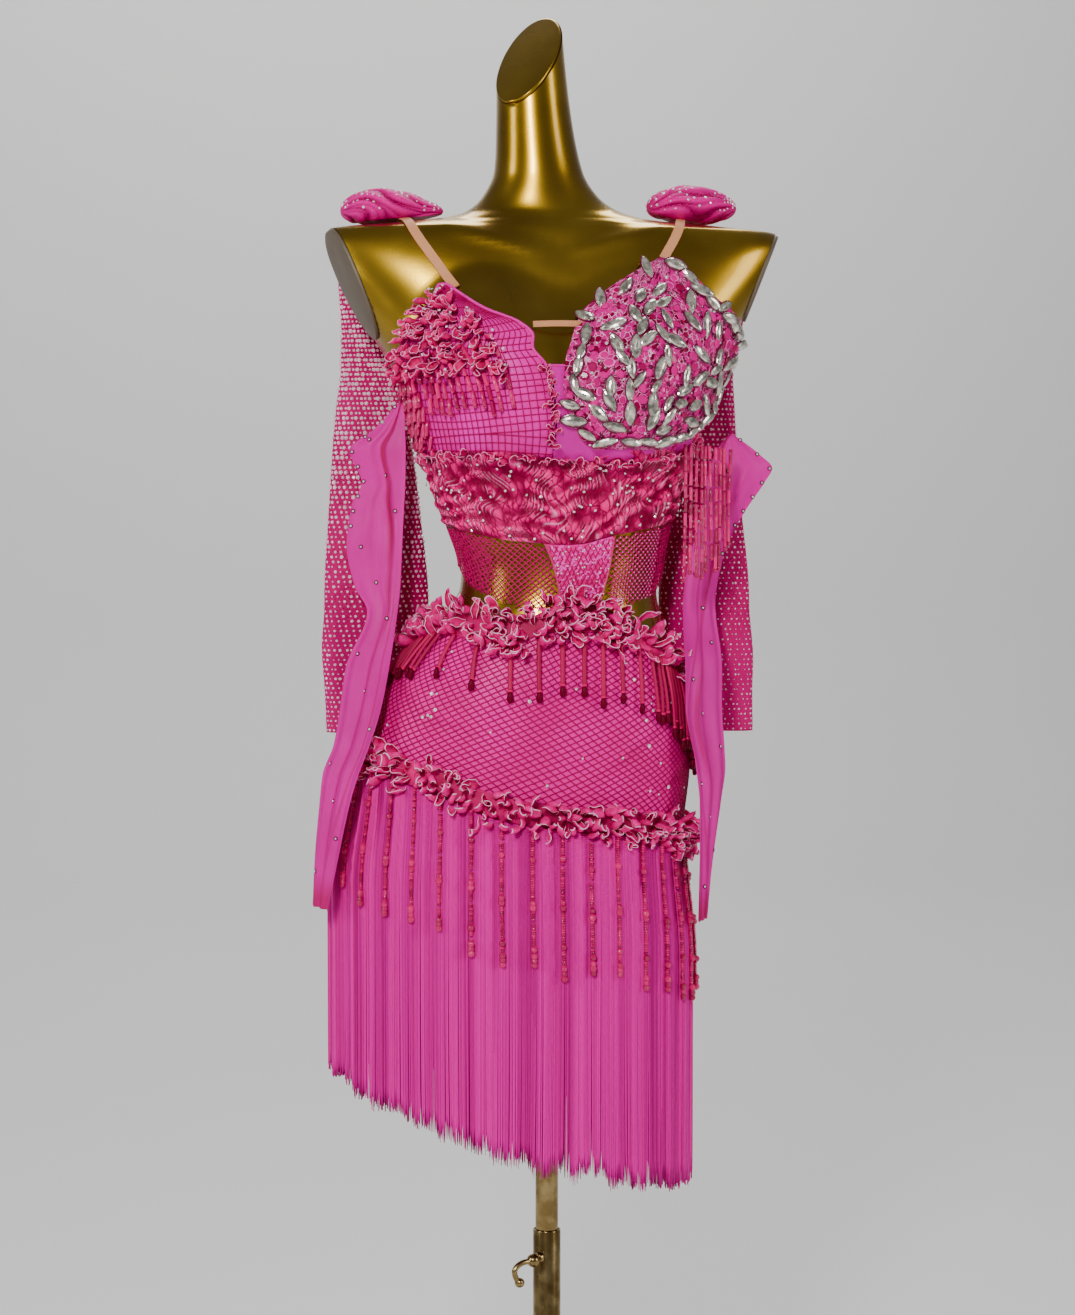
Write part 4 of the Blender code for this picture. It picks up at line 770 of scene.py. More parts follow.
def gathered_finish():
    """Gathered net: painted shade in the troughs and along the cell edges, bright on the slopes, a painted
    highlight along one side of each pleat.
    """
    net = Finish("gathered net", (0.72, 0.0, 0.26), 0.36, Specular_IOR_Level=0.06)
    # Painted shade: dark in the troughs of the gathers, bright on the raised slopes.
    slope = net.blend(net.ramp(net.attribute("crest"), 0.0, 0.75), (0.2, 0.0, 0.03), (1.0, 0.0, 0.235))
    pattern = net.node("Mapping", 0, {"Vector": net.place("UV"), "Scale": (1.0, 0.62, 1.0)})
    cells = net.cell_edges(pattern, 150.0)
    # Painted shade along the cell edges, the creases between the puffs.
    deep = net.blend(net.ramp(cells, 0.0, 0.12), (0.26, 0.0, 0.04), slope)
    # Painted highlight: a light line along one side of each pleat.
    net.colour(net.blend(net.attribute("fold_highlight"), deep, (1.0, 0.34, 0.62)))
    net.bump(net.ramp(cells, 0.0, 0.35), 0.001, 0.6)
    return net.material


def beads(name, deep, bright, roughness=0.07, coat=1.0, gloss=0.2):
    """Glossy glass beads whose own shade runs from deep to bright."""
    glass = Finish(name, bright, roughness, Coat_Weight=coat, Coat_Roughness=0.03, Specular_IOR_Level=gloss)
    glass.colour(glass.blend(glass.attribute("shade"), deep, bright))
    return glass.material


def stones(name, colour, roughness, metallic, dim=0.72, **sockets):
    stone = Finish(name, colour, roughness, metallic, **sockets)
    # Painted reflection: cloudy patches of a dimmer copy of the colour, light and dark across each stone; the
    # lower the dim, the stronger.
    stone.colour(stone.cloudy(160.0, 0.35, 0.65, tuple(dim * part for part in colour), colour))
    return stone.material


def mosaic_finish():
    """Ground of the stone cup: uneven bright and dark cells with light lines between them."""
    ground = Finish("stone cup ground", (1.0, 0.0, 0.4), 0.36, Specular_IOR_Level=0.05)
    pattern = ground.place("UV")
    cells = ground.cell_edges(pattern, 210.0)
    shade = ground.axis(ground.node("TexVoronoi", "Color", {"Vector": pattern, "Scale": 210.0}), 0)
    body = ground.blend(ground.ramp(shade, 0.18, 0.42), (0.22, 0.0, 0.035), (0.74, 0.0, 0.26))
    lines = ground.maths("MULTIPLY", ground.ramp(cells, 0.06, 0.035),
                         ground.ramp(ground.noise(110.0), 0.4, 0.55))
    ground.colour(ground.blend(lines, body, (1.0, 0.42, 0.7)))
    ground.bump(ground.ramp(cells, 0.0, 0.2), 0.0008, 0.7)
    return ground.material


def elastic_finish():
    elastic = Finish("nude elastic", (0.74, 0.31, 0.13), 0.55)
    ribs = elastic.waves(314.0)
    # Painted shade: darker in the grooves between the ribs, where the bump is low.
    elastic.colour(elastic.blend(ribs, (0.58, 0.22, 0.085), (0.8, 0.36, 0.165)))
    elastic.bump(ribs, 0.0003, 0.6)
    return elastic.material


def mesh_finish():
    """Sleeve mesh: a fine net of dark pink over a cloudy darker ground in its holes, brighter below about 1
    m.
    """
    net = Finish("sleeve mesh", (0.42, 0.0, 0.13), 0.5, Specular_IOR_Level=0.04)
    holes = net.ramp(net.cell_edges(net.place("UV"), 620.0), 0.05, 0.3)
    ground = net.cloudy(16.0, 0.35, 0.68, (0.1, 0.0, 0.015), (0.46, 0.0, 0.13))
    ground = net.blend(net.ramp(net.axis(net.place(), 2), 1.06, 0.96), ground, (0.58, 0.0, 0.2))
    net.colour(net.blend(holes, (0.52, 0.0, 0.13), ground))
    net.bump(holes, 0.0002, 0.5)
    return net.material


def roll_finish():
    """Bunched mesh: painted shade deep in the folds, bright on their crests, under a fine net."""
    net = Finish("bunched mesh", (0.7, 0.0, 0.28), 0.36, Specular_IOR_Level=0.05)
    crest = net.ramp(net.attribute("crest"), 0.25, 0.98)
    cells = net.cell_edges(net.place(), 520.0)
    # Painted shade: dark in the troughs of the folds, bright on the crests.
    ground = net.blend(crest, (0.24, 0.0, 0.05), (0.9, 0.0, 0.34))
    net.colour(net.blend(net.ramp(cells, 0.03, 0.12), (0.66, 0.0, 0.22), ground))
    net.bump(net.ramp(cells, 0.05, 0.3), 0.0003, 0.6)
    return net.material


GOLD = gold_lacquer()
TAUPE = plate_taupe()
BRASS = antique_brass()
ELASTIC = elastic_finish()
SATIN = satin("hot pink satin", (0.76, 0.0, 0.42), (0.68, 0.0, 0.34))
STRIP_SATIN = satin("trim strip", (0.8, 0.0, 0.2), (0.34, 0.0, 0.06), 0.5)
SKIRT_SATIN = satin("skirt satin", (1.0, 0.0, 0.42), (0.84, 0.0, 0.3), 0.34)
CENTRE_SATIN = satin("centre satin", (1.0, 0.0, 0.36), (0.66, 0.0, 0.18))
OVERLAY_SATIN = satin("overlay satin", (0.7, 0.0, 0.32), (0.62, 0.0, 0.27), 0.42, crease_shade_and_dark_foot=True)
SATIN_BINDING = satin("satin binding", (0.9, 0.0, 0.44), (0.85, 0.0, 0.36), 0.35)
CUP_SATIN = satin("bright cup satin", (0.94, 0.0, 0.48), (0.84, 0.0, 0.36))
STONE_GROUND = mosaic_finish()
SLEEVE_MESH = mesh_finish()
ROLL_MESH = roll_finish()
GATHERS = gathered_finish()
FRINGE_THREAD = fringe_thread()
NET_THREAD = plain("net thread", (0.46, 0.0, 0.1), 0.45, Specular_IOR_Level=0.05)
OPEN_THREAD = plain("open net thread", (0.6, 0.0, 0.13), 0.45, Specular_IOR_Level=0.05)
LIGHT_THREAD = plain("light thread", (0.42, 0.0, 0.08), 0.45, Specular_IOR_Level=0.05)
DEEP_EDGING = plain("deep pink edging", (0.62, 0.0, 0.14), 0.4)
DARK_TIP = plain("dark bead tips", (0.13, 0.0, 0.015), 0.4, Specular_IOR_Level=0.06)
DARK_RING = plain("dark stone rings", (0.12, 0.0, 0.03), 0.25, Coat_Weight=0.3)
FLECKS = plain("light flecks", (1.0, 0.06, 0.54), 0.35, Specular_IOR_Level=0.1)
PALE_RIM = plain("pale stone rims", (1.0, 0.12, 0.52), 0.3, Specular_IOR_Level=0.1)
# Petal colours: painted shade in the cup, the bright pink body, and a painted highlight on the edges.
PETALS = petal_finish("crinkled petals", (0.6, 0.0, 0.13), (1.0, 0.0, 0.31), (1.0, 0.52, 0.76))
RUFFLE_PETALS = petal_finish("ruffle petals", (0.48, 0.0, 0.09), (1.0, 0.0, 0.23), (1.0, 0.34, 0.62))
BAND_PETALS = petal_finish("band crinkles", (0.4, 0.0, 0.08), (0.95, 0.0, 0.21), (1.0, 0.32, 0.6))
DEEP_GLASS = beads("deep pink beads", (0.34, 0.0, 0.05), (0.72, 0.0, 0.12), 0.5, 0.0)
BUGLE_GLASS = beads("glass bugles", (0.3, 0.0, 0.05), (0.92, 0.0, 0.2), 0.05, 0.25, 0.5)
GLASS_PINK = beads("pink glass beads", (0.3, 0.0, 0.05), (0.86, 0.0, 0.18), 0.08, 0.2, 0.4)
PINK_STONE = beads("pink cut stones", (0.26, 0.0, 0.04), (0.8, 0.0, 0.28), 0.12, 0.0)
CRYSTAL = stones("clear stones", (1.0, 0.9, 0.95), 0.12, 0.15, Coat_Weight=0.5)
# A low dim paints strong light and dark reflections across each silver stone.
SILVER = stones("silver pearl stones", (0.95, 0.9, 0.78), 0.2, 0.85, dim=0.34)
DOTS = stones("sleeve dots", (1.0, 0.62, 0.78), 0.25, 0.05)


# ---------------------------------------------------------------- dress form
def form_rows(count):
    """Heights spaced along the form's side outline, so that flat shoulders keep their rows."""
    heights = np.linspace(FORM_FOOT, FORM_SECTIONS[-1, 0], 3000)
    widths = smooth(FORM_SECTIONS[:, 0], FORM_SECTIONS[:, 2], heights)
    run = np.concatenate(([0.0], np.cumsum(np.hypot(np.diff(heights), np.diff(widths)))))
    return np.interp(np.linspace(0, run[-1], count), run, heights)


def collarbones(turns, heights, points):
    """Outward relief: two slanting ridges, a hollow above each, and a notch between them."""
    bone = COLLARBONE
    aside = np.abs(points[..., 0] - 0.004)
    run = np.clip((aside - bone["inner"]) / (bone["outer"] - bone["inner"]), 0, 1)
    line = bone["foot"] + bone["rise"] * run**0.8
    fade = np.sin(math.pi * np.clip(0.12 + 0.88 * run, 0, 1)) * (np.cos(turns) > 0)
    ridge = np.exp(-((heights - line) / bone["wide"]) ** 2)
    above = np.exp(-((heights - line - 0.013) / 0.008) ** 2)
    notch = np.exp(-(aside / bone["notch_wide"]) ** 2 - ((heights - bone["foot"] - 0.002) / 0.01) ** 2)
    return (fade * (bone["high"] * ridge - bone["hollow"] * above)
            - bone["notch_depth"] * notch * (np.cos(turns) > 0))


def cut_flat(bm, place, facing, floor, side):
    """Cut the form with a plane, close it, and return the flat face's corners."""
    faces = {face for face in bm.faces
             if all(corner.co.z > floor and corner.co.x * side >= 0 for corner in face.verts)}
    edges = {edge for face in faces for edge in face.edges}
    corners = {corner for face in faces for corner in face.verts}
    cut = bmesh.ops.bisect_plane(bm, geom=[*corners, *edges, *faces], plane_co=place,
                                 plane_no=facing, clear_outer=True, dist=1e-6)
    rim = [part for part in cut["geom_cut"] if isinstance(part, bmesh.types.BMEdge)]
    filled = bmesh.ops.contextual_create(bm, geom=rim)
    return [corner.co.copy() for corner in filled["faces"][0].verts]


def plate_on_cut(name, outline, facing, material, slot):
    """A plate on a cut: the cut's outline drawn in, with a rounded edge, as nested rings."""
    outline = np.array(outline)
    facing = np.array(facing) / np.linalg.norm(facing)
    middle = outline.mean(axis=0)
    away = unit(outline - middle)
    if np.dot(np.cross(outline[0] - middle, outline[1] - middle), facing) < 0:
        outline, away = outline[::-1], away[::-1]
    steps = ((0.0012, 0.0003), (0.001, 0.0024), (0.0016, 0.0031), (0.0026, 0.0033))
    rings = [outline - away * inset + facing * height for inset, height in steps]
    mesh = fill_mesh(name, np.concatenate(rings), ring_faces(len(rings), len(outline)), sharp=50)
    return add_piece(name, mesh, material)


def build_form():
    turns = even_turns(-180, 180, 181)[None, :-1]
    heights = form_rows(230)[:, None]
    points = on_form(turns, heights)
    turns, heights = np.broadcast_arrays(turns, heights)
    points = points + facing_of(turns, heights) * collarbones(turns, heights, points)[..., None]
    mesh = fill_mesh("form rows", points, [grid_faces(*points.shape[:2], closed=True)])
    bm = bmesh.new()
    bm.from_mesh(mesh)
    bmesh.ops.holes_fill(bm, edges=[edge for edge in bm.edges if edge.is_boundary], sides=0)
    outlines = {name: cut_flat(bm, *plane) for name, plane in CUT_PLANES.items()}
    bmesh.ops.recalc_face_normals(bm, faces=bm.faces)
    bm.to_mesh(mesh)
    bm.free()
    mesh.polygons.foreach_set("use_smooth", np.full(len(mesh.polygons), True))
    mesh.set_sharp_from_angle(angle=math.radians(35))
    mesh.name = "form_shell"
    form = add_piece("form_shell", mesh, GOLD, nodes=("dress_form",))
    for name, outline in outlines.items():
        look = (GOLD, "gold_paint") if name == "neck_cap" else (TAUPE, "taupe_plate")
        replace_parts(plate_on_cut(name + "_plate", outline, CUT_PLANES[name][1], *look), name)
    return form


# ---------------------------------------------------------------- satin panels and nets
def table_grid(table, columns, rows):
    """Turns and heights of a patch whose two edges are columns of a table, by height."""
    heights = np.linspace(table[0, 0], table[-1, 0], rows)[:, None]
    share = np.linspace(0, 1, columns)[None, :]
    turns = between(cup_edge(table, 1, heights), cup_edge(table, 2, heights), share)
    return turns, np.broadcast_to(heights, turns.shape)


def follow_band_top(turns, heights):
    """Bend the right cup's lowest rows so that they run along the band's top edge."""
    foot = CUP_RIGHT[0, 0]
    gap = edge_line(BAND_TOP, turns) + 3 * SEAM - foot
    return heights + gap * np.clip((CUP_BEND_TOP - heights) / (CUP_BEND_TOP - foot), 0, 1) ** 1.5


def panel_grid(start, stop, top, foot, columns, rows):
    """Turns and heights between two turns (degrees) and two edge lines."""
    turns = np.broadcast_to(even_turns(start, stop, columns), (rows, columns))
    return turns, between(foot(turns), top(turns), np.linspace(0, 1, rows)[:, None])


def in_table(table, turns, heights, inset=0.0):
    """Whether places lie between the two edges of a table, drawn in by inset degrees."""
    inset = inset * np.sign(table[1, 2] - table[1, 1])
    outer, inner = cup_edge(table, 1, heights, inset), cup_edge(table, 2, heights, -inset)
    low, high = np.minimum(outer, inner), np.maximum(outer, inner)
    return (turns > low) & (turns < high) & (heights > table[0, 0]) & (heights < table[-1, 0])


def net_piece(name, turn_span, height_span, inside, radius, angles, cells, nodes=(), lift=NET_LIFT,
              thread=0.00045, warp=0.0, step=0.005, material=None):
    """Threads of a net: families of slanting lines on the unrolled form, kept where inside holds.

    On the unrolled form, across is radius times the even turn and up is the height.  Each family
    has its own angle and gap between its lines; warp makes them wander a little.
    """
    across_span = reshape_turns(np.radians(turn_span), 1 / EVEN_POWER) * radius
    middle = np.array((np.mean(across_span), np.mean(height_span)))
    half = np.hypot(np.ptp(across_span), np.ptp(height_span)) / 2 + max(cells)
    run = np.arange(-half, half, step)
    pieces = []
    for angle, cell in zip(np.radians(angles), cells):
        lines = np.arange(-half, half, cell)
        ahead = np.array((math.cos(angle), math.sin(angle)))
        aside = np.array((-ahead[1], ahead[0]))
        flat = middle + lines[:, None, None] * aside + run[None, :, None] * ahead
        flat = flat + warp * soft_noise(flat[..., 0] * 60, flat[..., 1] * 60, 5)[..., None] * aside
        turns = reshape_turns(flat[..., 0] / radius, EVEN_POWER)
        keep = inside(turns, flat[..., 1])
        rows = keep.any(axis=1)
        pieces.append((turns[rows], flat[rows][..., 1], keep[rows]))
    turns, heights, keep = (np.concatenate(parts) for parts in zip(*pieces))
    mesh = tube_mesh(name, on_form(turns, heights, lift), level_outward(turns, heights), thread,
                     thread * 0.8, keep=keep)
    return add_piece(name, mesh, material or NET_THREAD, nodes=nodes)


def declare_net(net, points):
    """Read the areas of a net's faces; nothing more is done with them."""
    areas = np.empty(len(net.data.polygons))
    net.data.polygons.foreach_get("area", areas)


def creases(turns, heights, folds):
    """Depth of soft pulls: middle turn and height, half lengths along and across, slant,
    depth.  Each is a trough with a low ridge beside it."""
    total = 0.0
    for turn, height, long, wide, slant, deep in folds:
        across, up = turns * HIP_ROUND - math.radians(turn) * HIP_ROUND, heights - height
        cosine, sine = math.cos(math.radians(slant)), math.sin(math.radians(slant))
        ahead, aside = across * cosine + up * sine, up * cosine - across * sine
        total = total + deep * np.exp(-(ahead / long) ** 2 - (aside / wide) ** 2)
        total = total - 0.5 * deep * np.exp(-(ahead / long) ** 2 - ((aside - 1.7 * wide) / wide) ** 2)
    return total


def edge_binding(name, turns, heights, lift, radius, material=SATIN_BINDING):
    """A rolled edge: a round cord along a line on the form."""
    mesh = tube_mesh(name, on_form(turns, heights, lift)[None], level_outward(turns, heights)[None],
                     radius, radius, sides=10, values={"shade": np.array((0.9,))})
    return add_piece(name, mesh, material)


def spun(facing, spin):
    """Directions in a surface, each turned by its spin from the level one."""
    level = unit(np.cross(UP, facing))
    return level * np.cos(spin)[:, None] + np.cross(facing, level) * np.sin(spin)[:, None]


def leaned(facing, along, amount):
    """Normals that lean a little, each its own way."""
    tip = draw.normal(0, amount, (len(facing), 2))
    return unit(facing + along * tip[:, :1] + np.cross(facing, along) * tip[:, 1:])


def scatter_on_form(name, turns, heights, lift, shape, sizes, material=CRYSTAL, spin=None, lean=0.0):
    """Small shapes lying on the form, each turned by its own spin in the surface."""
    facing = facing_of(turns, heights)
    spin = draw.uniform(0, 2 * math.pi, len(turns)) if spin is None else spin
    along = spun(facing, spin)
    if lean:
        facing = leaned(facing, along, lean)
    return scatter_piece(name, shape, on_form(turns, heights, lift), along, facing, sizes, material)


def random_places(count, turn_span, height_span, inside):
    """Seeded random turns (radians) and heights, kept where inside holds."""
    turns = draw.uniform(*np.radians(turn_span), count)
    heights = draw.uniform(*height_span, count)
    keep = inside(turns, heights)
    return turns[keep], heights[keep]


def cup_net(name, uprights, levels):
    """Net of the right cup: uprights run from foot to top edge and draw together as the cup narrows;
    the levels sag by a sine between the cup's two edges."""
    turns, heights = table_grid(CUP_RIGHT, uprights + 2, 90)
    up = np.stack((turns, follow_band_top(turns, heights)), axis=-1).transpose(1, 0, 2)[1:-1]
    up[..., 0] = up[..., 0] + 0.01 * soft_noise(up[..., 0] * 9, up[..., 1] * 40, 15)
    foot, top = CUP_RIGHT[0, 0] + 0.003, CUP_RIGHT[-1, 0] - 0.004
    share = np.linspace(0.004, 0.996, 90)[None, :]
    wander = 0.0012 * soft_noise(share * 12, np.arange(levels)[:, None], 16)
    heights = np.linspace(foot, top, levels)[:, None] + wander
    heights = np.clip(heights - 0.006 * np.sin(math.pi * share) * (heights > 1.185), foot, top)
    turns = between(cup_edge(CUP_RIGHT, 1, heights), cup_edge(CUP_RIGHT, 2, heights), share)
    threads = np.concatenate((up, np.stack((turns, follow_band_top(turns, heights)), axis=-1)))
    turns, heights = threads[..., 0], threads[..., 1]
    mesh = tube_mesh(name, on_form(turns, heights, NET_LIFT), level_outward(turns, heights), 0.00052, 0.0004)
    return add_piece(name, mesh, NET_THREAD)


def above_band(turns):
    return edge_line(BAND_FOOT, wrap_turn(turns))


def build_cup_right():
    """Satin cup with its net, its rolled edge and the crinkles down its inner edge."""
    turns, heights = table_grid(CUP_RIGHT, 80, 70)
    points = on_form(turns, follow_band_top(turns, heights), SATIN_LIFT)
    cup = cloth_piece("cup_right_satin", points, CUP_SATIN, ("cup_right",))
    cup_net("cup_right_net", 29, 24)
    up, down = np.linspace(1.172, 1.316, 60), np.linspace(1.316, 1.239, 40)
    heights = np.concatenate((up, [1.3165], down))
    edge = np.concatenate((cup_edge(CUP_RIGHT, 2, up), np.radians([-26.6]), cup_edge(CUP_RIGHT, 1, down)))
    bare = (np.arange(len(edge)) > 60) | (heights > 1.236)
    edge_binding("cup_right_binding", edge[bare], heights[bare], 0.004, 0.0013)
    heights = np.linspace(1.173, 1.238, 22)
    petals_piece("cup_right_crinkles", cup_edge(CUP_RIGHT, 2, heights, -1.0), heights, 0.0036, 0.0085, 0.0042,
                 spin=draw.normal(1.7, 0.5, 22), tilt=(0.0, 0.4), curl=(0.9, 1.8), material=BAND_PETALS)
    declare_sheet(LYING_ON)


def build_gusset():
    """Satin between the cups, drawn tight from the right cup's edge to under the left cup."""
    share = np.linspace(0, 1, 70)[None, :] ** 1.4
    turns = np.radians(between(-4.4, 76.0, share))
    low = edge_line(BAND_TOP, turns) - 0.004
    heights = between(low, smooth(*GUSSET_TOP.T, np.degrees(turns)), np.linspace(0, 1, 40)[:, None])
    turns = between(cup_edge(CUP_RIGHT, 2, heights, GUSSET_GAP), math.radians(76.0), share)
    rise = np.clip((heights - low) / 0.008, 0, 1)
    points = on_form(turns, heights, 0.0024 + 0.0018 * rise)
    gusset = cloth_piece("gusset_satin", points, SATIN, ("bodice_front",))
    declare_sheet(LYING_ON)
    edge_binding("gusset_binding", turns[-1, :30], heights[-1, :30], GUSSET_LIFT + 0.0012, 0.0009)


def build_back():
    """Satin back of the bodice under its net."""
    turns, heights = panel_grid(90, 270, lambda t: edge_line(BACK_TOP, t), above_band, 120, 40)
    points = on_form(turns, heights, SATIN_LIFT)
    back = cloth_piece("back_bodice_satin", points, CUP_SATIN, ("bodice_back",))
    declare_sheet(LYING_ON)
    net_piece("back_bodice_net", (90, 270), (1.09, 1.21),
              lambda t, h: (h < edge_line(BACK_TOP, t % (2 * math.pi)) - 0.001)
              & (h > above_band(t) + 0.001) & (t > math.pi / 2) & (t < 1.5 * math.pi),
              BUST_ROUND, (32, -36), (0.004, 0.0043))
    edge_binding("back_top_binding", turns[-1], heights[-1], 0.004, 0.0013)


def band_surface(turns, share):
    """Points, crest and painted fold highlight of the gathered band, share 0 at its foot to 1 at its top.

    Rows of gathers run round; their phase and depth wander, and short pleats cross each row.
    """
    low, high = edge_line(BAND_FOOT, turns), edge_line(BAND_TOP, turns)
    high = high + smooth(*BAND_RISE, np.degrees(turns))
    heights = between(low, high, share)
    run = reshape_turns(turns, 1 / EVEN_POWER) * BUST_ROUND
    phase = share * 4.6 + 0.85 * soft_noise(run * 26, share * 2.4, 11)
    phase = phase + 0.5 * soft_noise(run * 105, share * 8, 17)
    row = (0.5 - 0.5 * np.cos(2 * math.pi * phase)) ** 0.8
    row = np.maximum(row, 0.24) * np.clip(0.8 + 0.9 * soft_noise(run * 75, share * 7, 19), 0.5, 1)
    pleat = run / 0.0085 + 1.5 * soft_noise(run * 80, share * 8, 12) + 0.37 * np.floor(phase)
    pleat = np.abs(np.sin(math.pi * (pleat + 0.4 * np.sin(2 * math.pi * share * 2 + run * 25))))
    crest = row * (0.3 + 0.7 * pleat**0.7) + 0.26 * soft_noise(run * 240, share * 19, 13)
    crest = np.clip(crest + 0.14 * soft_noise(run * 90, share * 8, 14), 0, 1)
    # Painted highlight: a thin light line along one side of each pleat, strongest on raised rows.
    fold_highlight = np.exp(-((pleat - 0.62) / 0.1) ** 2) * np.clip((row - 0.15) / 0.3, 0, 1)
    fold_highlight = fold_highlight * np.clip(0.55 + 1.5 * soft_noise(run * 120, share * 11, 18), 0, 1)
    edge = np.clip(np.minimum(share, 1 - share) / 0.05, 0, 1)
    return on_form(turns, heights, 0.003 + 0.0046 * crest * (0.4 + 0.6 * edge)), crest, fold_highlight


def build_band():
    turns = np.broadcast_to(even_turns(-89.8, 89.8, 480), (100, 480))
    share = np.broadcast_to(np.linspace(0, 1, 100)[:, None], turns.shape)
    points, crest, fold_highlight = band_surface(turns, share)
    band = cloth_piece("gathered_band", points, GATHERS, ("ruched_band",),
                       values={"crest": crest, "fold_highlight": fold_highlight})
    turns = np.radians(np.linspace(-88, 88, 64) + draw.normal(0, 1.0, 64))
    heights = edge_line(BAND_TOP, turns) + draw.uniform(-0.004, 0.001, 64)
    petals = petals_piece("band_edge_crinkles", turns, heights, 0.005, 0.009, 0.0056,
                          spin=draw.normal(math.pi / 2, 0.7, 64), tilt=(0.0, 0.5), curl=(0.8, 1.7),
                          material=BAND_PETALS)
    spots = random_places(190, (-89, 89), (1.09, 1.18), lambda t, h: (h > edge_line(BAND_FOOT, t) + 0.003)
                          & (h < edge_line(BAND_TOP, t) - 0.003))
    dots = scatter_on_form("band_lights", *spots, 0.008, ROUND_STONE, (0.0013, 0.0013, 0.0012), lean=0.5)
    declare_sheet(LYING_ON, with_pieces=[petals, dots])


def petal_grids(length, half_width, curl, bend):
    """Local grids of curled petals, root at the origin, x along, y across, z outward.

    Across, a petal is an arc that turns by curl; along, its spine is an arc that turns by bend
    and swings aside by a parabola; its half width swells from a narrow root and rounds in at the
    tip, and its free edges ripple by a sine.
    """
    count = len(length)
    swing, phase = draw.uniform(-0.9, 0.9, (count, 1, 1)), draw.uniform(0, 6.3, (count, 1, 1))
    run = np.linspace(0, 1, 6)[None, :, None]
    aside = np.linspace(-1, 1, 7)[None, None, :]
    length, half_width, curl, bend = (part.reshape(-1, 1, 1) for part in (length, half_width, curl, bend))
    wide = half_width * (0.3 + 0.7 * np.sin(math.pi * (0.1 + 0.74 * run)))
    across = wide / curl * np.sin(curl * aside) + length * swing * run**2 / 2
    raised = wide / curl * (1 - np.cos(curl * aside))
    raised = raised + 0.35 * half_width * aside * run * np.sin(8 * run + phase)
    x = length / bend * np.sin(bend * run) - raised * np.sin(bend * run)
    z = length / bend * (1 - np.cos(bend * run)) + raised * np.cos(bend * run)
    return xyz(x, across, z), xyz(run[0], aside[0])


def petals_piece(name, turns, heights, lift, length, half_width, nodes=(), curl=(0.8, 1.5),
                 bend=(0.3, 1.3), spin=None, tilt=(0.15, 0.9), material=PETALS):
    """Curled petals scattered along a trim, each a thin shell tilted out of the surface."""
    count = len(turns)
    grids, uv = petal_grids(*(scale * draw.uniform(*span, count) for scale, span in (
        (length, (0.75, 1.2)), (half_width, (0.75, 1.2)), (1.0, curl), (1.0, bend))))
    facing = facing_of(turns, heights)
    along = spun(facing, spin)
    tilt = draw.uniform(*tilt, count)[:, None]
    roll = draw.normal(0, 0.35, count)[:, None]
    x_axis = unit(along * np.cos(tilt) + facing * np.sin(tilt))
    z_axis = unit(facing * np.cos(tilt) - along * np.sin(tilt))
    y_axis = np.cross(z_axis, x_axis)
    axes = np.stack((x_axis, y_axis * np.cos(roll) + z_axis * np.sin(roll),
                     z_axis * np.cos(roll) - y_axis * np.sin(roll)), axis=1)
    points = on_form(turns, heights, lift)[:, None, None, :] + np.einsum("nrck,nkj->nrcj", grids, axes)
    rows, columns = grids.shape[1:3]
    faces = grid_faces(rows, columns)[None] + (np.arange(count) * rows * columns)[:, None, None]
    mesh = fill_mesh(name, points, [faces.reshape(-1, 4)], corner_uv=np.broadcast_to(uv, (count, *uv.shape)))
    item = add_piece(name, mesh, material, nodes=nodes)
    add_wall(item, 0.0005, 0.0)
    return item


def centre_slant(heights, side):
    """Degrees by which an edge of the midriff's centre draws in towards its foot."""
    down = np.clip((1.095 - heights) / 0.06, 0, 1)
    return 11.0 * down if side < 0 else 2.5 - 5.0 * down


def in_centre(turns, heights):
    return ((np.degrees(turns) > -14 + centre_slant(heights, -1))
            & (np.degrees(turns) < 20 + centre_slant(heights, 1)))


def midriff_foot(turns):
    return edge_line(MIDRIFF_FOOT, wrap_turn(turns)) - 0.006


def build_midriff_centre():
    """Satin centre of the midriff under a fine net, with flecks and small lights."""
    share = np.linspace(0, 1, 60)[None, :]
    turns, heights = panel_grid(-12, 20.5, above_band, midriff_foot, 60, 40)
    turns = np.radians(-14 + 34 * share + centre_slant(heights, -1) * (1 - share)
                       + centre_slant(heights, 1) * share)
    points = on_form(turns, heights, SATIN_LIFT - 0.0006)
    centre = cloth_piece("midriff_centre_satin", points, CENTRE_SATIN, ("midriff_centre",))
    declare_sheet(LYING_ON)
    net_piece("midriff_centre_net", (-14, 23), (1.02, 1.1),
              lambda t, h: in_centre(t, h) & (h < above_band(t) - 0.001) & (h > midriff_foot(t)),
              WAIST_ROUND, (62, -58), (0.0042, 0.0042), lift=SATIN_LIFT - 0.0002, thread=0.0004, warp=0.001,
              step=0.003, material=LIGHT_THREAD)

    def spots(count):
        return random_places(count, (-13, 21), (1.034, 1.092),
                             lambda t, h: (h < above_band(t) - 0.002) & in_centre(t, h))

    flecks = spots(300)
    count = len(flecks[0])
    scatter_on_form("midriff_centre_flecks", *flecks, SATIN_LIFT - 0.0004, DOT_STONE,
                    draw.uniform(0.001, 0.0019, (count, 1)) * np.array((1.3, 0.7, 0.5)), FLECKS,
                    spin=draw.normal(0.5, 0.6, count))
    scatter_on_form("midriff_centre_lights", *spots(60), SATIN_LIFT - 0.0002, DOT_STONE, 0.0009)


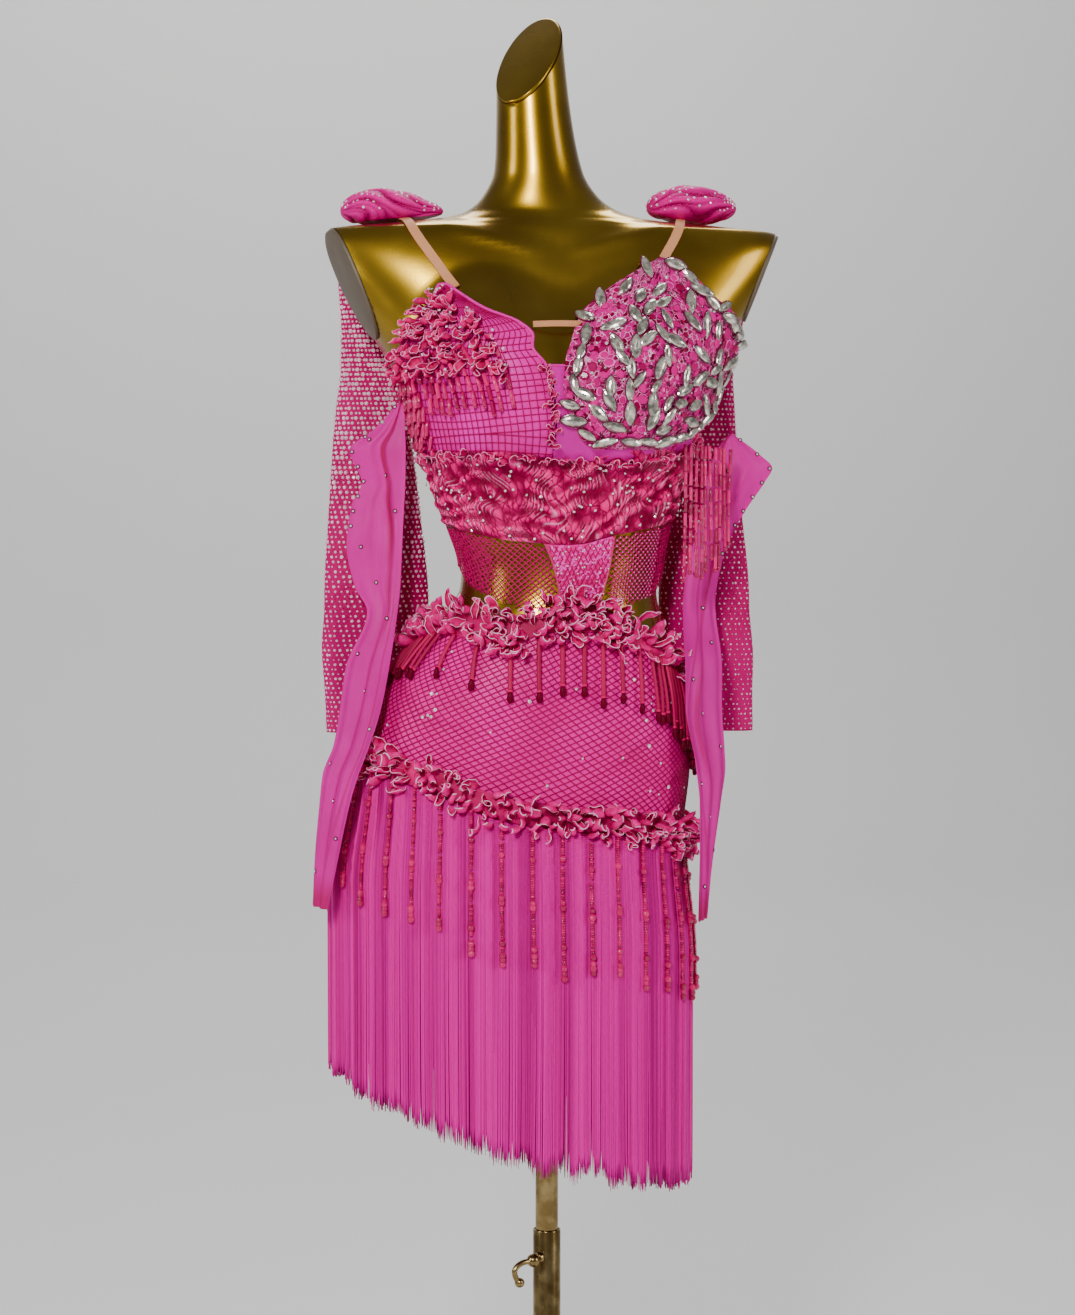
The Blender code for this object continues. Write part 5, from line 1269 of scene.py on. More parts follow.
def build_midriff_nets():
    """Open net over the bare form at both sides and behind."""
    for name, start, stop in (("midriff_net_right", -62, -12), ("midriff_net_left", 20.5, 60),
                              ("midriff_back", 60, 298)):
        low, high = np.radians((start, stop))

        def inside(t, h):
            return (t >= low - 0.05 * (start < 0)) & (t <= high + 0.16 * (stop < 0)) & ~in_centre(t, h) & (
                h < above_band(t) - 0.0004) & (h > midriff_foot(t))

        net = net_piece(name + "_threads", (start - 4, stop + 10), (1.02, 1.115), inside, WAIST_ROUND,
                        (38, -38), (0.004, 0.004), (name,), lift=0.0026, thread=0.00055, warp=0.0008,
                        material=OPEN_THREAD)
        turns, heights = panel_grid(start, stop, above_band, midriff_foot, 60, 8)
        declare_net(net, on_form(turns, heights, 0.0026))
    level, across = np.meshgrid(np.arange(26), np.arange(12))
    heights = (1.038 + 0.0026 * level).ravel()
    turns = (math.radians(24) + (across + 0.5 * (level % 2)) * 0.0065 / WAIST_ROUND).ravel()
    bare = (heights < above_band(turns) - 0.002) & (heights > midriff_foot(turns) + 0.002) & (
        turns < math.radians(57))
    scatter_on_form("midriff_net_lights", turns[bare], heights[bare], 0.003, DOT_STONE, 0.0009, PALE_RIM)
    for name, start, stop in (("right", -80, -38), ("left", 48, 76)):
        low, high = np.radians((start, stop))
        net_piece("midriff_dense_" + name, (start, stop), (1.02, 1.115),
                  lambda t, h: (t >= low) & (t <= high) & (h < above_band(t) - 0.0004) & (h > midriff_foot(t))
                  & (np.minimum(t - low, high - t) > 0.1 * (1 + soft_noise(t * 40, h * 300, 21))),
                  WAIST_ROUND, (12, -66), (0.004, 0.0044), lift=0.003, thread=0.0005, warp=0.0012,
                  step=0.003, material=OPEN_THREAD)
    for side, name, turn in ((-1, "right", -14), (1, "left", 20)):
        edge = math.radians(turn)
        heights = between(midriff_foot(edge), above_band(edge), np.linspace(0, 1, 30))
        edge_binding("midriff_binding_" + name, np.radians(turn + centre_slant(heights, side)), heights,
                     SATIN_LIFT - 0.0004, 0.0009, DEEP_EDGING)


def build_skirt():
    """Satin skirt, its net, and small lights scattered over it at random."""
    def top(turns):
        return edge_line(WAIST_LINE, wrap_turn(turns)) + 0.011

    def foot(turns):
        return edge_line(HIP_LINE, wrap_turn(turns)) - 0.012

    for side, start in (("front", -90), ("back", 90)):
        span = (start, start + 180)
        turns, heights = panel_grid(*span, top, foot, 150, 60)
        points = on_form(turns, heights, SATIN_LIFT - creases(turns, heights, SKIRT_PULLS))
        panel = cloth_piece(f"skirt_{side}_satin", points, SKIRT_SATIN, ("skirt_" + side,))
        low, high = np.radians(span)

        def inside(t, h):
            return (t >= low - 0.002) & (t <= high + 0.002) & (h < top(t)) & (h > foot(t))

        net = net_piece(f"skirt_{side}_net", span, (0.8, 1.03), inside, HIP_ROUND, (26, -42),
                        (0.0048, 0.0052), thread=0.00062, warp=0.0012)
        spots = random_places(60, span, (0.83, 1.0),
                              lambda t, h: (h < top(t) - 0.028) & (h > foot(t) + 0.028))
        lights = scatter_on_form(f"skirt_{side}_lights", *spots, NET_LIFT, ROUND_STONE,
                                 draw.uniform(0.0008, 0.0021, (len(spots[0]), 1)))
        declare_sheet(LYING_ON, with_pieces=[net, lights])


def along_line(line, levels, radius):
    """Staggered places in rows above and below a slanted edge line, all round."""
    per_row = int(radius * math.radians(360) / PETAL_GAP)
    turns, offsets = [], []
    for k, level in enumerate(levels):
        at = (np.arange(per_row) + 0.5 * (k % 2) + draw.uniform(-0.22, 0.22, per_row)) / per_row
        turns.append(reshape_turns(reshape_turns(np.radians(-180), 1 / EVEN_POWER)
                                   + at * math.radians(360), EVEN_POWER))
        offsets.append(np.full(per_row, level) + draw.uniform(-0.0022, 0.0022, per_row))
    turns, offsets = np.concatenate(turns), np.concatenate(offsets)
    return turns, edge_line(line, wrap_turn(turns)) + offsets, offsets


def trim_piece(name, line, radius, extra=0):
    """A trim of curled petals in staggered rows on a gathered strip."""
    turns = np.broadcast_to(even_turns(-180, 180, 361)[:-1], (12, 360))
    share = np.broadcast_to(np.linspace(-0.4, 0.4, 12)[:, None], turns.shape)
    heights = edge_line(line, wrap_turn(turns)) + TRIM_HEIGHT * share
    crest = np.clip(0.45 + 0.5 * soft_noise(turns * radius * 420, share * 26, 31), 0, 1)
    points = on_form(turns, heights, 0.005 + 0.0016 * crest * np.cos(math.pi * share))
    strip = cloth_piece(name + "_strip", points, STRIP_SATIN, (name,), closed=True)
    turns, heights, offsets = along_line(line, (0.012, 0.006, 0.0, -0.006, -0.012), radius)
    middle = np.exp(-(np.degrees(wrap_turn(turns)) / 26) ** 2) * (extra > 0)
    heights, offsets = heights + 0.55 * middle * offsets, offsets * (1 + 0.55 * middle)
    more = np.radians(draw.uniform(-34, 34, extra))
    shift = draw.uniform(-0.018, 0.017, extra)
    turns, offsets = np.concatenate((turns, more)), np.concatenate((offsets, shift))
    heights = np.concatenate((heights, edge_line(line, more) + shift))
    aim = np.where(offsets > 0.001, math.pi / 2, -math.pi / 2) + draw.normal(0, 1.0, len(turns))
    petals = petals_piece(name + "_petals", turns, heights, 0.0058, 0.018, 0.0066, spin=aim,
                          tilt=(0.1, 1.2), curl=(0.7, 2.2), bend=(0.7, 2.6))
    declare_sheet(LYING_ON, with_pieces=[petals])


def hang_down(turns, tops, lengths, lift, count, sway=0.0, plumb=0.0):
    """Paths that hang down the form from given places, all to one count of points.

    plumb is how far those near the front are pulled upright, against the form's swell.
    """
    share = np.linspace(0, 1, count)[None, :]
    heights = tops[:, None] - lengths[:, None] * share
    turns = turns[:, None] + sway * draw.normal(0, 1, (len(turns), 1)) * share**1.5
    if plumb:
        for _ in range(2):
            aside = on_form(turns, heights, lift)[..., 0]
            pull = plumb * np.exp(-(np.degrees(turns) / 42) ** 4) * (aside - aside[:, :1])
            turns = turns - pull / (0.13 * np.cos(turns))
    return on_form(turns, heights, lift), level_outward(turns, heights)


def build_drops():
    """Beaded drops under the waist trim: a dark thread of beads that ends in a dark tip."""
    turns = np.radians(np.concatenate((DROP_TURNS, np.arange(45, 96, 2.8), np.arange(-96, -60, 4.4),
                                       np.arange(99, 263, 5.4))))
    turns = turns + np.where(np.arange(len(turns)) < len(DROP_TURNS), 0, draw.normal(0, 0.01, len(turns)))
    wrapped = wrap_turn(turns)
    top = edge_line(WAIST_LINE, wrapped) - 0.01
    length = edge_line(DROP_LENGTH, wrapped) * draw.uniform(0.84, 1.04, len(turns)) + 0.006
    front = np.abs(wrapped) <= math.pi / 2
    for side, chosen in (("front", front), ("back", ~front)):
        paths, outward = hang_down(turns[chosen], top[chosen], length[chosen] - 0.008,
                                   DROP_LIFT + 0.0006, 14, 0.012, plumb=0.6)
        mesh = tube_mesh("drops_" + side, paths, outward, 0.00215, 0.0013, sides=6,
                         values={"shade": draw.uniform(0.0, 0.6, chosen.sum())})
        add_piece("drops_" + side, mesh, DEEP_GLASS, nodes=("drop_fringe_" + side,))
        ends, along = paths[:, -1], unit(paths[:, -1] - paths[:, -2])
        scatter_piece("drop_tips_" + side, DROP_TIP, ends + along * 0.004, along, outward[:, -1],
                      (0.0105, 0.0031, 0.0026), DARK_TIP, rounded=True)
        scatter_piece("drop_collars_" + side, ROUND_BEAD, ends - along * 0.0012, along, outward[:, -1],
                      (0.0016, 0.0026, 0.0022), DEEP_GLASS, rounded=True,
                      values={"shade": np.full(len(ends), 0.9)})


# ---------------------------------------------------------------- fringe
def hem_heights(turns, across):
    """The fringe's hem: it falls from right to left, and bows up at both ends."""
    ahead = np.cos(turns)
    level = np.where(ahead > 0, HEM_FRONT, HEM_BACK)
    level = level * np.abs(ahead) + (HEM_FRONT + HEM_BACK) / 2 * (1 - np.abs(ahead))
    return level - HEM_FALL * (across - HIP_MIDDLE) + np.interp(across, *HEM_BOW.T)


def hanging_paths(turns, lift, share, length=None, ragged=0.0, drift=0.0):
    """Strands that hang from under the hip trim and flare a little near their top.

    share runs 0 to 1 down a strand; drift moves it sideways, in metres, along the rim.
    """
    wrapped = wrap_turn(turns)
    top = edge_line(HIP_LINE, wrapped) - TRIM_HEIGHT / 2 + 0.004
    rim = on_form(turns, top - 0.0072, FRINGE_LIFT)
    outward = level_outward(turns, top, FRINGE_LIFT)
    aside = xyz(-outward[:, 1], outward[:, 0], 0.0)
    low = (hem_heights(wrapped, rim[:, 0]) if length is None else top - length) + ragged
    heights = between(top[:, None], low[:, None], share)
    push = edge_line(FRINGE_FLARE, wrapped)[:, None] * ease((top[:, None] - heights) / FLARE_DEPTH) + lift
    points = rim[:, None, :] + outward[:, None, :] * push[..., None]
    points = points + aside[:, None, :] * np.broadcast_to(drift, heights.shape)[..., None]
    points[..., 2] = heights
    return points, np.broadcast_to(outward[:, None, :], points.shape)


def build_fringe():
    """Two layers of flat chain-stitched strands that gather in uneven bunches."""
    share = np.linspace(0, 1, 18)[None, :]
    taper = np.clip((1 - share) / 0.05, 0.25, 1)
    for side, start in (("front", -90), ("back", 90)):
        # The inner layer gets dark tones as painted shade in the gaps between the outer strands.
        for layer, count, lift, wide, shades in (("outer", 480, 0.0034, 0.00078, (0.62, 1.0)),
                                                 ("inner", 420, 0.0006, 0.0011, (0.0, 0.3))):
            turns = even_turns(start, start + 180, count)
            run = reshape_turns(turns, 1 / EVEN_POWER) * 0.152
            across = run[:, None]
            phase = across * 560 + 0.8 * soft_noise(across * 120, share * 1.3, 51, 7)
            drift = -0.001 * np.sin(phase) * share**0.5
            drift = drift + 0.0018 * soft_noise(across * 70, share * 2.2, 57, 7) * share
            drift = drift + draw.normal(0, 0.0003, (count, 1)) * share
            ragged = draw.uniform(-0.007, 0.003, count) + 0.005 * soft_noise(run * 260, 0, 58, 8)
            depth = lift + 0.0009 * soft_noise(across * 330, share * 2, 59, 7)
            points, outward = hanging_paths(turns, depth, share, ragged=ragged, drift=drift)
            shade = np.clip(draw.uniform(*shades, count) + 0.25 * soft_noise(run * 200, 0, 60), 0, 1)
            name = f"fringe_{side}_{layer}"
            mesh = tube_mesh(name, points, outward, wide * taper, 0.0006, values={"shade": shade})
            nodes = ("fringe_" + side,) if layer == "outer" else ()
            add_piece(name, mesh, FRINGE_THREAD, nodes=nodes)


def build_bead_strands():
    """Strands of seed beads over the fringe, each with larger beads and a cluster at its end."""
    strands, count = 19, 62
    for side, start in (("front", -90), ("back", 90)):
        turns = even_turns(start + 2.0, start + 178.0, strands) + draw.normal(0, 0.006, strands)
        length = edge_line(BEAD_LENGTH, wrap_turn(turns)) * draw.uniform(0.9, 1.03, strands) + 0.01
        share = np.linspace(0, 1, count)[None, :]
        sway = 0.0016 * soft_noise(turns[:, None] * 9, share * 2.5, 71)
        points, outward = hanging_paths(turns, 0.0058, share, length=length, drift=sway * share)
        down = unit(np.gradient(points, axis=1))
        pick = draw.random((strands, count)) > 0.02
        centres, along, facing = points[pick], down[pick], outward[pick]
        gap = (length / (count - 1))[:, None] * np.ones((1, count))
        sizes = xyz(gap[pick] * 0.98, 0.00195, 0.00195) * draw.uniform(0.9, 1.08, (len(centres), 1))
        scatter_piece("bead_strands_" + side, SEED_BEAD, centres, along, facing, sizes, GLASS_PINK,
                      rounded=True, values={"shade": draw.uniform(0.0, 0.9, len(centres))},
                      nodes=("bead_fringe_" + side,))
        first = draw.uniform(0.024, 0.034, strands)
        big_at = np.stack([(first + lower) / length for lower in (0.0, 0.038, 0.043, 0.078)]
                          + [np.full(strands, low) for low in (0.93, 0.965, 0.995)], axis=-1)
        index = np.clip((big_at * (count - 1)).astype(int), 0, count - 1)
        rows = np.arange(strands)[:, None]
        centres, along, facing = (part[rows, index].reshape(-1, 3) for part in (points, down, outward))
        radius = draw.uniform(0.0026, 0.0035, (len(centres), 1))
        scatter_piece("round_beads_" + side, ROUND_BEAD, centres + facing * 0.001, along, facing, radius,
                      GLASS_PINK, rounded=True,
                      values={"shade": draw.uniform(0.0, 0.8, len(centres))})


# ---------------------------------------------------------------- stone-set cup
def on_stone_cup(turns, heights, lift=0.0):
    """The stone-set cup stands off the form, further towards its outer edge."""
    share = np.clip(turns / CUP_LEFT_REACH, 0, 1)
    stand = CUP_LEFT_LIFT + CUP_LEFT_STAND * share**2 + lift
    return on_form(turns, heights) + level_outward(turns, heights) * stand[..., None]


def spaced_places(count, turn_span, height_span, gap, inset, taken):
    """Seeded random places on the stone cup at least a gap apart, as metres on the unrolled form;
    gives their turns and heights, and all places taken so far."""
    turns = np.radians(draw.uniform(*turn_span, 9000))
    heights = draw.uniform(*height_span, 9000)
    first = len(taken)
    for place in np.stack((turns * BUST_ROUND, heights), axis=-1)[in_table(CUP_LEFT, turns, heights, inset)]:
        if len(taken) - first >= count:
            break
        if np.min(np.sum((taken - place) ** 2, axis=1)) > gap**2:
            taken = np.vstack((taken, place))
    return taken[first:, 0] / BUST_ROUND, taken[first:, 1], taken


def on_unrolled(across, heights):
    """Unrolled places of the stone cup's points that are seen at a place across, level by level."""
    turns = np.radians(np.linspace(-3, 85, 120))
    faces = on_stone_cup(*np.broadcast_arrays(turns[None, :], heights[:, None]))
    found = [np.interp(place, face[:, 0], turns) for place, face in zip(across, faces)]
    return np.stack((np.array(found) * BUST_ROUND, heights), axis=-1)


def stones_piece(name, turns, heights, lift, shape, sizes, material, spin, tip=0.12, values=None):
    """Stones set on the stone cup, each turned by its spin and leaning a little."""
    nudge = 0.003
    along = on_stone_cup(turns + nudge, heights, lift) - on_stone_cup(turns - nudge, heights, lift)
    up = on_stone_cup(turns, heights + nudge, lift) - on_stone_cup(turns, heights - nudge, lift)
    facing, level = unit(np.cross(along, up)), unit(along)
    direction = level * np.cos(spin)[:, None] + np.cross(facing, level) * np.sin(spin)[:, None]
    facing = leaned(facing, direction, tip)
    return scatter_piece(name, shape, on_stone_cup(turns, heights, lift), direction, facing, sizes, material,
                         values=values)


def stone_border():
    """Silver stones along the cup's edges: most lie along the edge, some point out of it."""
    up = CUP_LEFT_EDGE_HEIGHTS
    turns = np.concatenate((cup_edge(CUP_LEFT, 1, up), cup_edge(CUP_LEFT, 2, up[::-1])))
    flat = np.stack((turns * BUST_ROUND, np.concatenate((up, up[::-1]))), axis=-1)
    flat = np.concatenate((flat, flat[:1]))
    run = run_along(flat)
    count = int(run[-1] / 0.0165)
    at = (np.arange(count) + draw.uniform(-0.15, 0.15, count)) * run[-1] / count

    def edge_at(at):
        return np.stack([np.interp(at, run, flat[:, axis]) for axis in (0, 1)], axis=-1)

    place, ahead = edge_at(at), edge_at(at + 0.004) - edge_at(at - 0.004)
    inward = unit(np.array((np.radians(40) * BUST_ROUND, 1.245)) - place)
    spike = draw.random(count) < np.where(place[:, 1] > 1.23, 0.4, 0.15)
    spin = np.arctan2(ahead[:, 1], ahead[:, 0]) + np.where(spike, draw.uniform(0.7, 1.4, count),
                                                           draw.uniform(-0.35, 0.35, count))
    return place + inward * np.where(spike, 0.002, 0.0058)[:, None], spin


def stone_sprays():
    """Silver stones in bent sprays with leaves beside them; one that is too near another is left out."""
    chosen = []
    for hub_x, hub_z, start, bend, long in STONE_SPRAYS:
        step = np.arange(1, long + 1)
        heading = math.radians(start) + bend * (step - 1)
        reach = np.stack((np.cos(heading), np.sin(heading)), axis=-1)
        spray = np.array((hub_x, hub_z)) + np.cumsum(reach * 0.0195, axis=0)
        side = np.where(step % 2, 1, -1)
        aside = np.stack((-reach[:, 1], reach[:, 0]), axis=-1)
        beside = spray + aside * 0.0085 * side[:, None] + reach * 0.009
        rows = [(*place, angle, 0.0135) for place, angle in zip(spray, heading + draw.normal(0, 0.25, long))]
        rows += [(*place, angle, 0.0115) for place, angle in zip(beside, heading + side * 0.7)]
        for row in rows:
            if all(math.hypot(row[0] - other[0], row[1] - other[1]) > row[3] for other in chosen):
                chosen.append(row)
    chosen = np.array(chosen)
    chosen = chosen[(chosen[:, 1] > 1.172) & (chosen[:, 1] < 1.338)]
    return on_unrolled(chosen[:, 0], chosen[:, 1]), chosen[:, 2]


def build_stone_cup():
    """Satin base, a border and sprays of pointed silver stones, cut pink stones and small lights."""
    turns, heights = table_grid(CUP_LEFT, 70, 80)
    points = on_stone_cup(turns[:, ::-1], heights[:, ::-1])
    base = cloth_piece("cup_left_base", points, STONE_GROUND, ("cup_left",),
                       thickness=0.0015)
    declare_sheet(LYING_ON)

    border, border_spin = stone_border()
    spray, spin = stone_sprays()
    clear = in_table(CUP_LEFT, spray[:, 0] / BUST_ROUND, spray[:, 1], 4.0) & (
        np.min(np.linalg.norm(spray[:, None] - border[None], axis=-1), axis=1) > 0.0105)
    spray, spin = spray[clear], spin[clear]
    taken = np.concatenate((border, spray))
    for count, low, gap in ((16, 1.275, 0.0135), (14, 1.185, 0.0165)):
        turns, heights, taken = spaced_places(count, (4, 80), (low, 1.334), gap, 5.0, taken)
        spray = np.concatenate((spray, np.stack((turns * BUST_ROUND, heights), axis=-1)))
        spin = np.concatenate((spin, draw.normal(1.5, 0.8, len(turns))))
    silver = np.concatenate((border, spray))
    spin = np.concatenate((border_spin, spin))
    sizes = draw.uniform(0.0092, 0.0126, (len(silver), 1)) * np.array((1.0, 0.86, 0.85))
    kept = draw.bit_generator.state
    # Each silver stone lies on a larger flat dark copy that shows as a thin dark outline round it.
    for name, lift, grow, material in (("pointed_silver_stones", 0.0026, (1.0, 1.0, 1.0), SILVER),
                                       ("dark_stone_outlines", 0.0018, (1.1, 1.24, 0.4), DARK_RING)):
        draw.bit_generator.state = kept
        stones_piece(name, silver[:, 0] / BUST_ROUND, silver[:, 1], lift, POINTED_STONE,
                     sizes * np.array(grow), material, spin, tip=0.16)

    half = silver[draw.random(len(silver)) < 0.5]
    turns, heights, taken = spaced_places(170, (-2, 86), (1.175, 1.338), 0.0072, 1.5, half)
    count = len(turns)
    sizes = draw.uniform(0.0022, 0.0042, (count, 1)) * np.array((1.0, 1.0, 0.8))
    sizes[:, 0] *= draw.uniform(1.0, 1.45, count)
    spin = draw.uniform(0, math.pi, count)
    stones_piece("cut_pink_stones", turns, heights, 0.0013, CUT_STONE, sizes, PINK_STONE, spin,
                 values={"shade": draw.uniform(0, 1, count)})
    rimmed = draw.random(count) < 0.14
    stones_piece("pink_stone_rims", turns[rimmed], heights[rimmed], 0.001, DISC,
                 sizes[rimmed] * np.array((1.14, 1.14, 2.2)), PALE_RIM, spin[rimmed], tip=0.0)
    for name, number, size, material in (("cup_left_lights", 60, (0.001, 0.0016), CRYSTAL),
                                         ("cup_left_darks", 110, (0.001, 0.0021), DARK_RING)):
        turns, heights, taken = spaced_places(number, (-2, 87), (1.172, 1.34), 0.0046, 0.6, taken)
        stones_piece(name, turns, heights, 0.001, ROUND_STONE, draw.uniform(*size, (len(turns), 1)),
                     material, draw.uniform(0, math.pi, len(turns)))


def ruffle_places(columns, rows, turn_jitter, height_jitter):
    turns, heights = table_grid(CUP_RUFFLE, columns, rows)
    turns = (turns + draw.normal(0, turn_jitter, turns.shape)).ravel()
    return turns, (heights + draw.normal(0, height_jitter, heights.shape)).ravel()


def build_cup_ruffle():
    """Looped petals over the right cup, with small lights, and two short curtains of bugles."""
    turns, heights = ruffle_places(13, 11, 0.02, 0.0018)
    clear = (turns < cup_edge(CUP_RIGHT, 2, heights) - 0.13) & (heights < 1.304)
    turns, heights = turns[clear], heights[clear]
    petals_piece("cup_ruffle_petals", turns, heights, 0.0052, 0.0145, 0.0062, ("cup_ruffle",),
                 spin=draw.normal(-1.6, 1.1, len(turns)), tilt=(0.1, 0.9), curl=(0.9, 2.4), bend=(0.4, 2.2),
                 material=RUFFLE_PETALS)
    scatter_on_form("cup_ruffle_lights", *ruffle_places(6, 5, 0.03, 0.002), 0.0128, ROUND_STONE,
                    (0.0014, 0.0014, 0.0013), lean=0.5)
    for name, count, span, tops, lengths, lift, node, radius in BUGLE_CURTAINS:
        turns = np.radians(np.linspace(*span, count)) + draw.normal(0, 0.008, count)
        lengths = np.linspace(*lengths, count) * draw.uniform(0.86, 1.12, count)
        paths, outward = hang_down(turns, np.linspace(*tops, count), lengths, lift, 61)
        string_bugles(name, paths, outward, node, 0.0125, radius)


def string_bugles(name, paths, outward, node, bugle, radius):
    """Long glass bugles strung along each path, with a small round bead at its end."""
    strung = []
    lengths = np.linalg.norm(np.diff(paths, axis=1), axis=-1).sum(axis=1)
    for path, out, length in zip(paths, outward, lengths):
        count = max(int(length / bugle), 1)
        index = ((np.arange(count) + 0.5) / count * (len(path) - 1)).astype(int)
        along = unit(path[np.minimum(index + 1, len(path) - 1)] - path[np.maximum(index - 1, 0)])
        strung.append((path[index], along, out[index], np.full(count, length / count)))
    centres, along, facing, gaps = (np.concatenate(part) for part in zip(*strung))
    scatter_piece(name, BUGLE, centres, along, facing, xyz(gaps * 0.94, radius, radius), BUGLE_GLASS,
                  rounded=True, values={"shade": draw.uniform(0, 1, len(centres))},
                  nodes=(node,), sharp=50)
    scatter_piece(name + "_ends", ROUND_BEAD, paths[:, -1], np.broadcast_to(-UP, paths[:, -1].shape),
                  outward[:, -1], 0.0022, GLASS_PINK, rounded=True,
                  values={"shade": np.full(len(paths), 0.3)})


def build_underarm_curtain():
    """Bugle strands that hang free beside the left cup."""
    count = 10
    share = np.linspace(0.02, 0.98, count) + draw.normal(0, 0.014, count)
    x, y = (between(*ends, share)[:, None] for ends in zip(UNDERARM["inner"], UNDERARM["outer"]))
    top = UNDERARM["top"] + 0.01 - 0.004 * share
    foot = UNDERARM["foot"] + 0.03 * share + draw.uniform(0, 0.016, count)
    down = np.linspace(0, 1, 61)[None, :]
    sway = 0.0014 * soft_noise(share[:, None] * 20, down * 3, 83)
    paths = xyz(x + sway, y - 0.0018, between(top[:, None], foot[:, None], down))
    outward = np.broadcast_to(unit(np.array((0.043, -0.05, 0.0))), paths.shape)
    string_bugles("underarm_bugles", paths, outward, "underarm_bead_fringe", 0.012, 0.0016)


# ---------------------------------------------------------------- sleeves, overlays, rolls
def rows_down(table, names, rows):
    """Heights from a table's foot to its top, its columns there, and the share of the way down."""
    heights = np.linspace(table[-1, 0], table[0, 0], rows)[:, None]
    down = (table[0, 0] - heights) / (table[0, 0] - table[-1, 0])
    return heights, columns_at(table[::-1], names, heights), down


def sleeve_points(table, columns, rows):
    """Ovals along a sleeve, with soft lengthwise and slanting folds on them."""
    heights, value, down = rows_down(table, SLEEVE_COLUMNS, rows)
    angle = np.linspace(0, 2 * math.pi, columns + 1)[:-1][None, :]
    edge = np.clip(np.minimum(down, 1 - down) / 0.06, 0.15, 1)
    fold = np.sin(5 * angle + 6.0 * down + 1.2 * np.sin(9 * down)) + 0.6 * np.sin(8 * angle - 9 * down + 1)
    fold = fold * (0.45 + 0.55 * np.sin(2.3 * angle + 4 * down) ** 2)
    ripple = np.exp(-((down - 0.63) / 0.07) ** 2) * np.sin(46 * down + 2 * np.sin(2 * angle))
    swell = 1.0 - (0.0011 + 0.0011 * fold * edge - 0.0009 * ripple) / value["half_depth"]
    across = (value["half_width"] - 0.0012) * power(np.cos(angle), 2 / SLEEVE_SQUARENESS)
    deep = value["half_depth"] * swell * power(np.sin(angle), 2 / SLEEVE_SQUARENESS)
    turn = np.radians(value["turn"])
    return xyz(value["x"] + across * np.cos(turn) - deep * np.sin(turn),
               value["y"] + across * np.sin(turn) + deep * np.cos(turn), heights)


def surface_spots(points, pitch, uneven):
    """Places in a slanted grid of a given pitch on a closed grid surface, with its normals."""
    points = np.concatenate((points, points[:, :1]), axis=1)
    rows, columns = points.shape[:2]
    along_u = np.gradient(points, axis=1)
    normals = unit(np.cross(along_u, np.gradient(points, axis=0)))
    girth = np.linalg.norm(np.diff(points, axis=1), axis=-1)
    run = np.concatenate((np.zeros((rows, 1)), np.cumsum(girth, axis=1)), axis=1)
    run = run / run[:, -1:]
    height = np.linalg.norm(np.diff(points[:, columns // 2], axis=0), axis=-1).sum()
    across, up = int(girth.sum(axis=1).mean() / pitch), int(height / pitch)
    level = np.arange(up)[:, None]
    u = (np.arange(across)[None, :] + 0.5 * (level % 2) + 0.22 * level) / across
    u = (u + draw.normal(0, uneven / across, u.shape)) % 1.0
    row = np.clip((level + 0.5) / up * (rows - 1), 0, rows - 1.001) + 0 * u
    low = row.astype(int)
    part = (row - low)[..., None]
    place = np.array([np.searchsorted(run[k], w) for k, w in zip(low.ravel(), u.ravel())]).reshape(u.shape)
    place = np.clip(place, 1, columns - 1)
    first, second = run[low, place - 1], run[low, place]
    ahead = ((u - first) / np.maximum(second - first, 1e-9))[..., None]

    def sample(grid):
        lower, upper = (between(grid[k, place - 1], grid[k, place], ahead) for k in (low, low + 1))
        return between(lower, upper, part).reshape(-1, 3)

    return sample(points), unit(sample(normals)), unit(sample(along_u))


def build_sleeves():
    for side, table, pitch, size, uneven in (("right", SLEEVE_RIGHT, 0.0048, 0.0017, 0.1),
                                             ("left", SLEEVE_LEFT, 0.005, 0.0012, 0.22)):
        points = sleeve_points(table, 96, 150)
        nodes = tuple(name + "_" + side for name in ("sleeve_top", "sleeve", "sleeve_cuff"))
        sleeve = cloth_piece("mesh_sleeve_" + side, points, SLEEVE_MESH, nodes, closed=True,
                             thickness=0.0006)
        origins, facing, along = surface_spots(points, pitch, uneven)
        size = size * (0.78 + 0.34 * np.clip((origins[:, 2:] - 1.02) / 0.12, 0, 1))
        dots = scatter_piece("sleeve_dots_" + side, DOT_STONE, origins, along, facing,
                             size * draw.uniform(0.55, 1.3, (len(origins), 1)), DOTS)
        declare_sheet([], with_pieces=[dots])


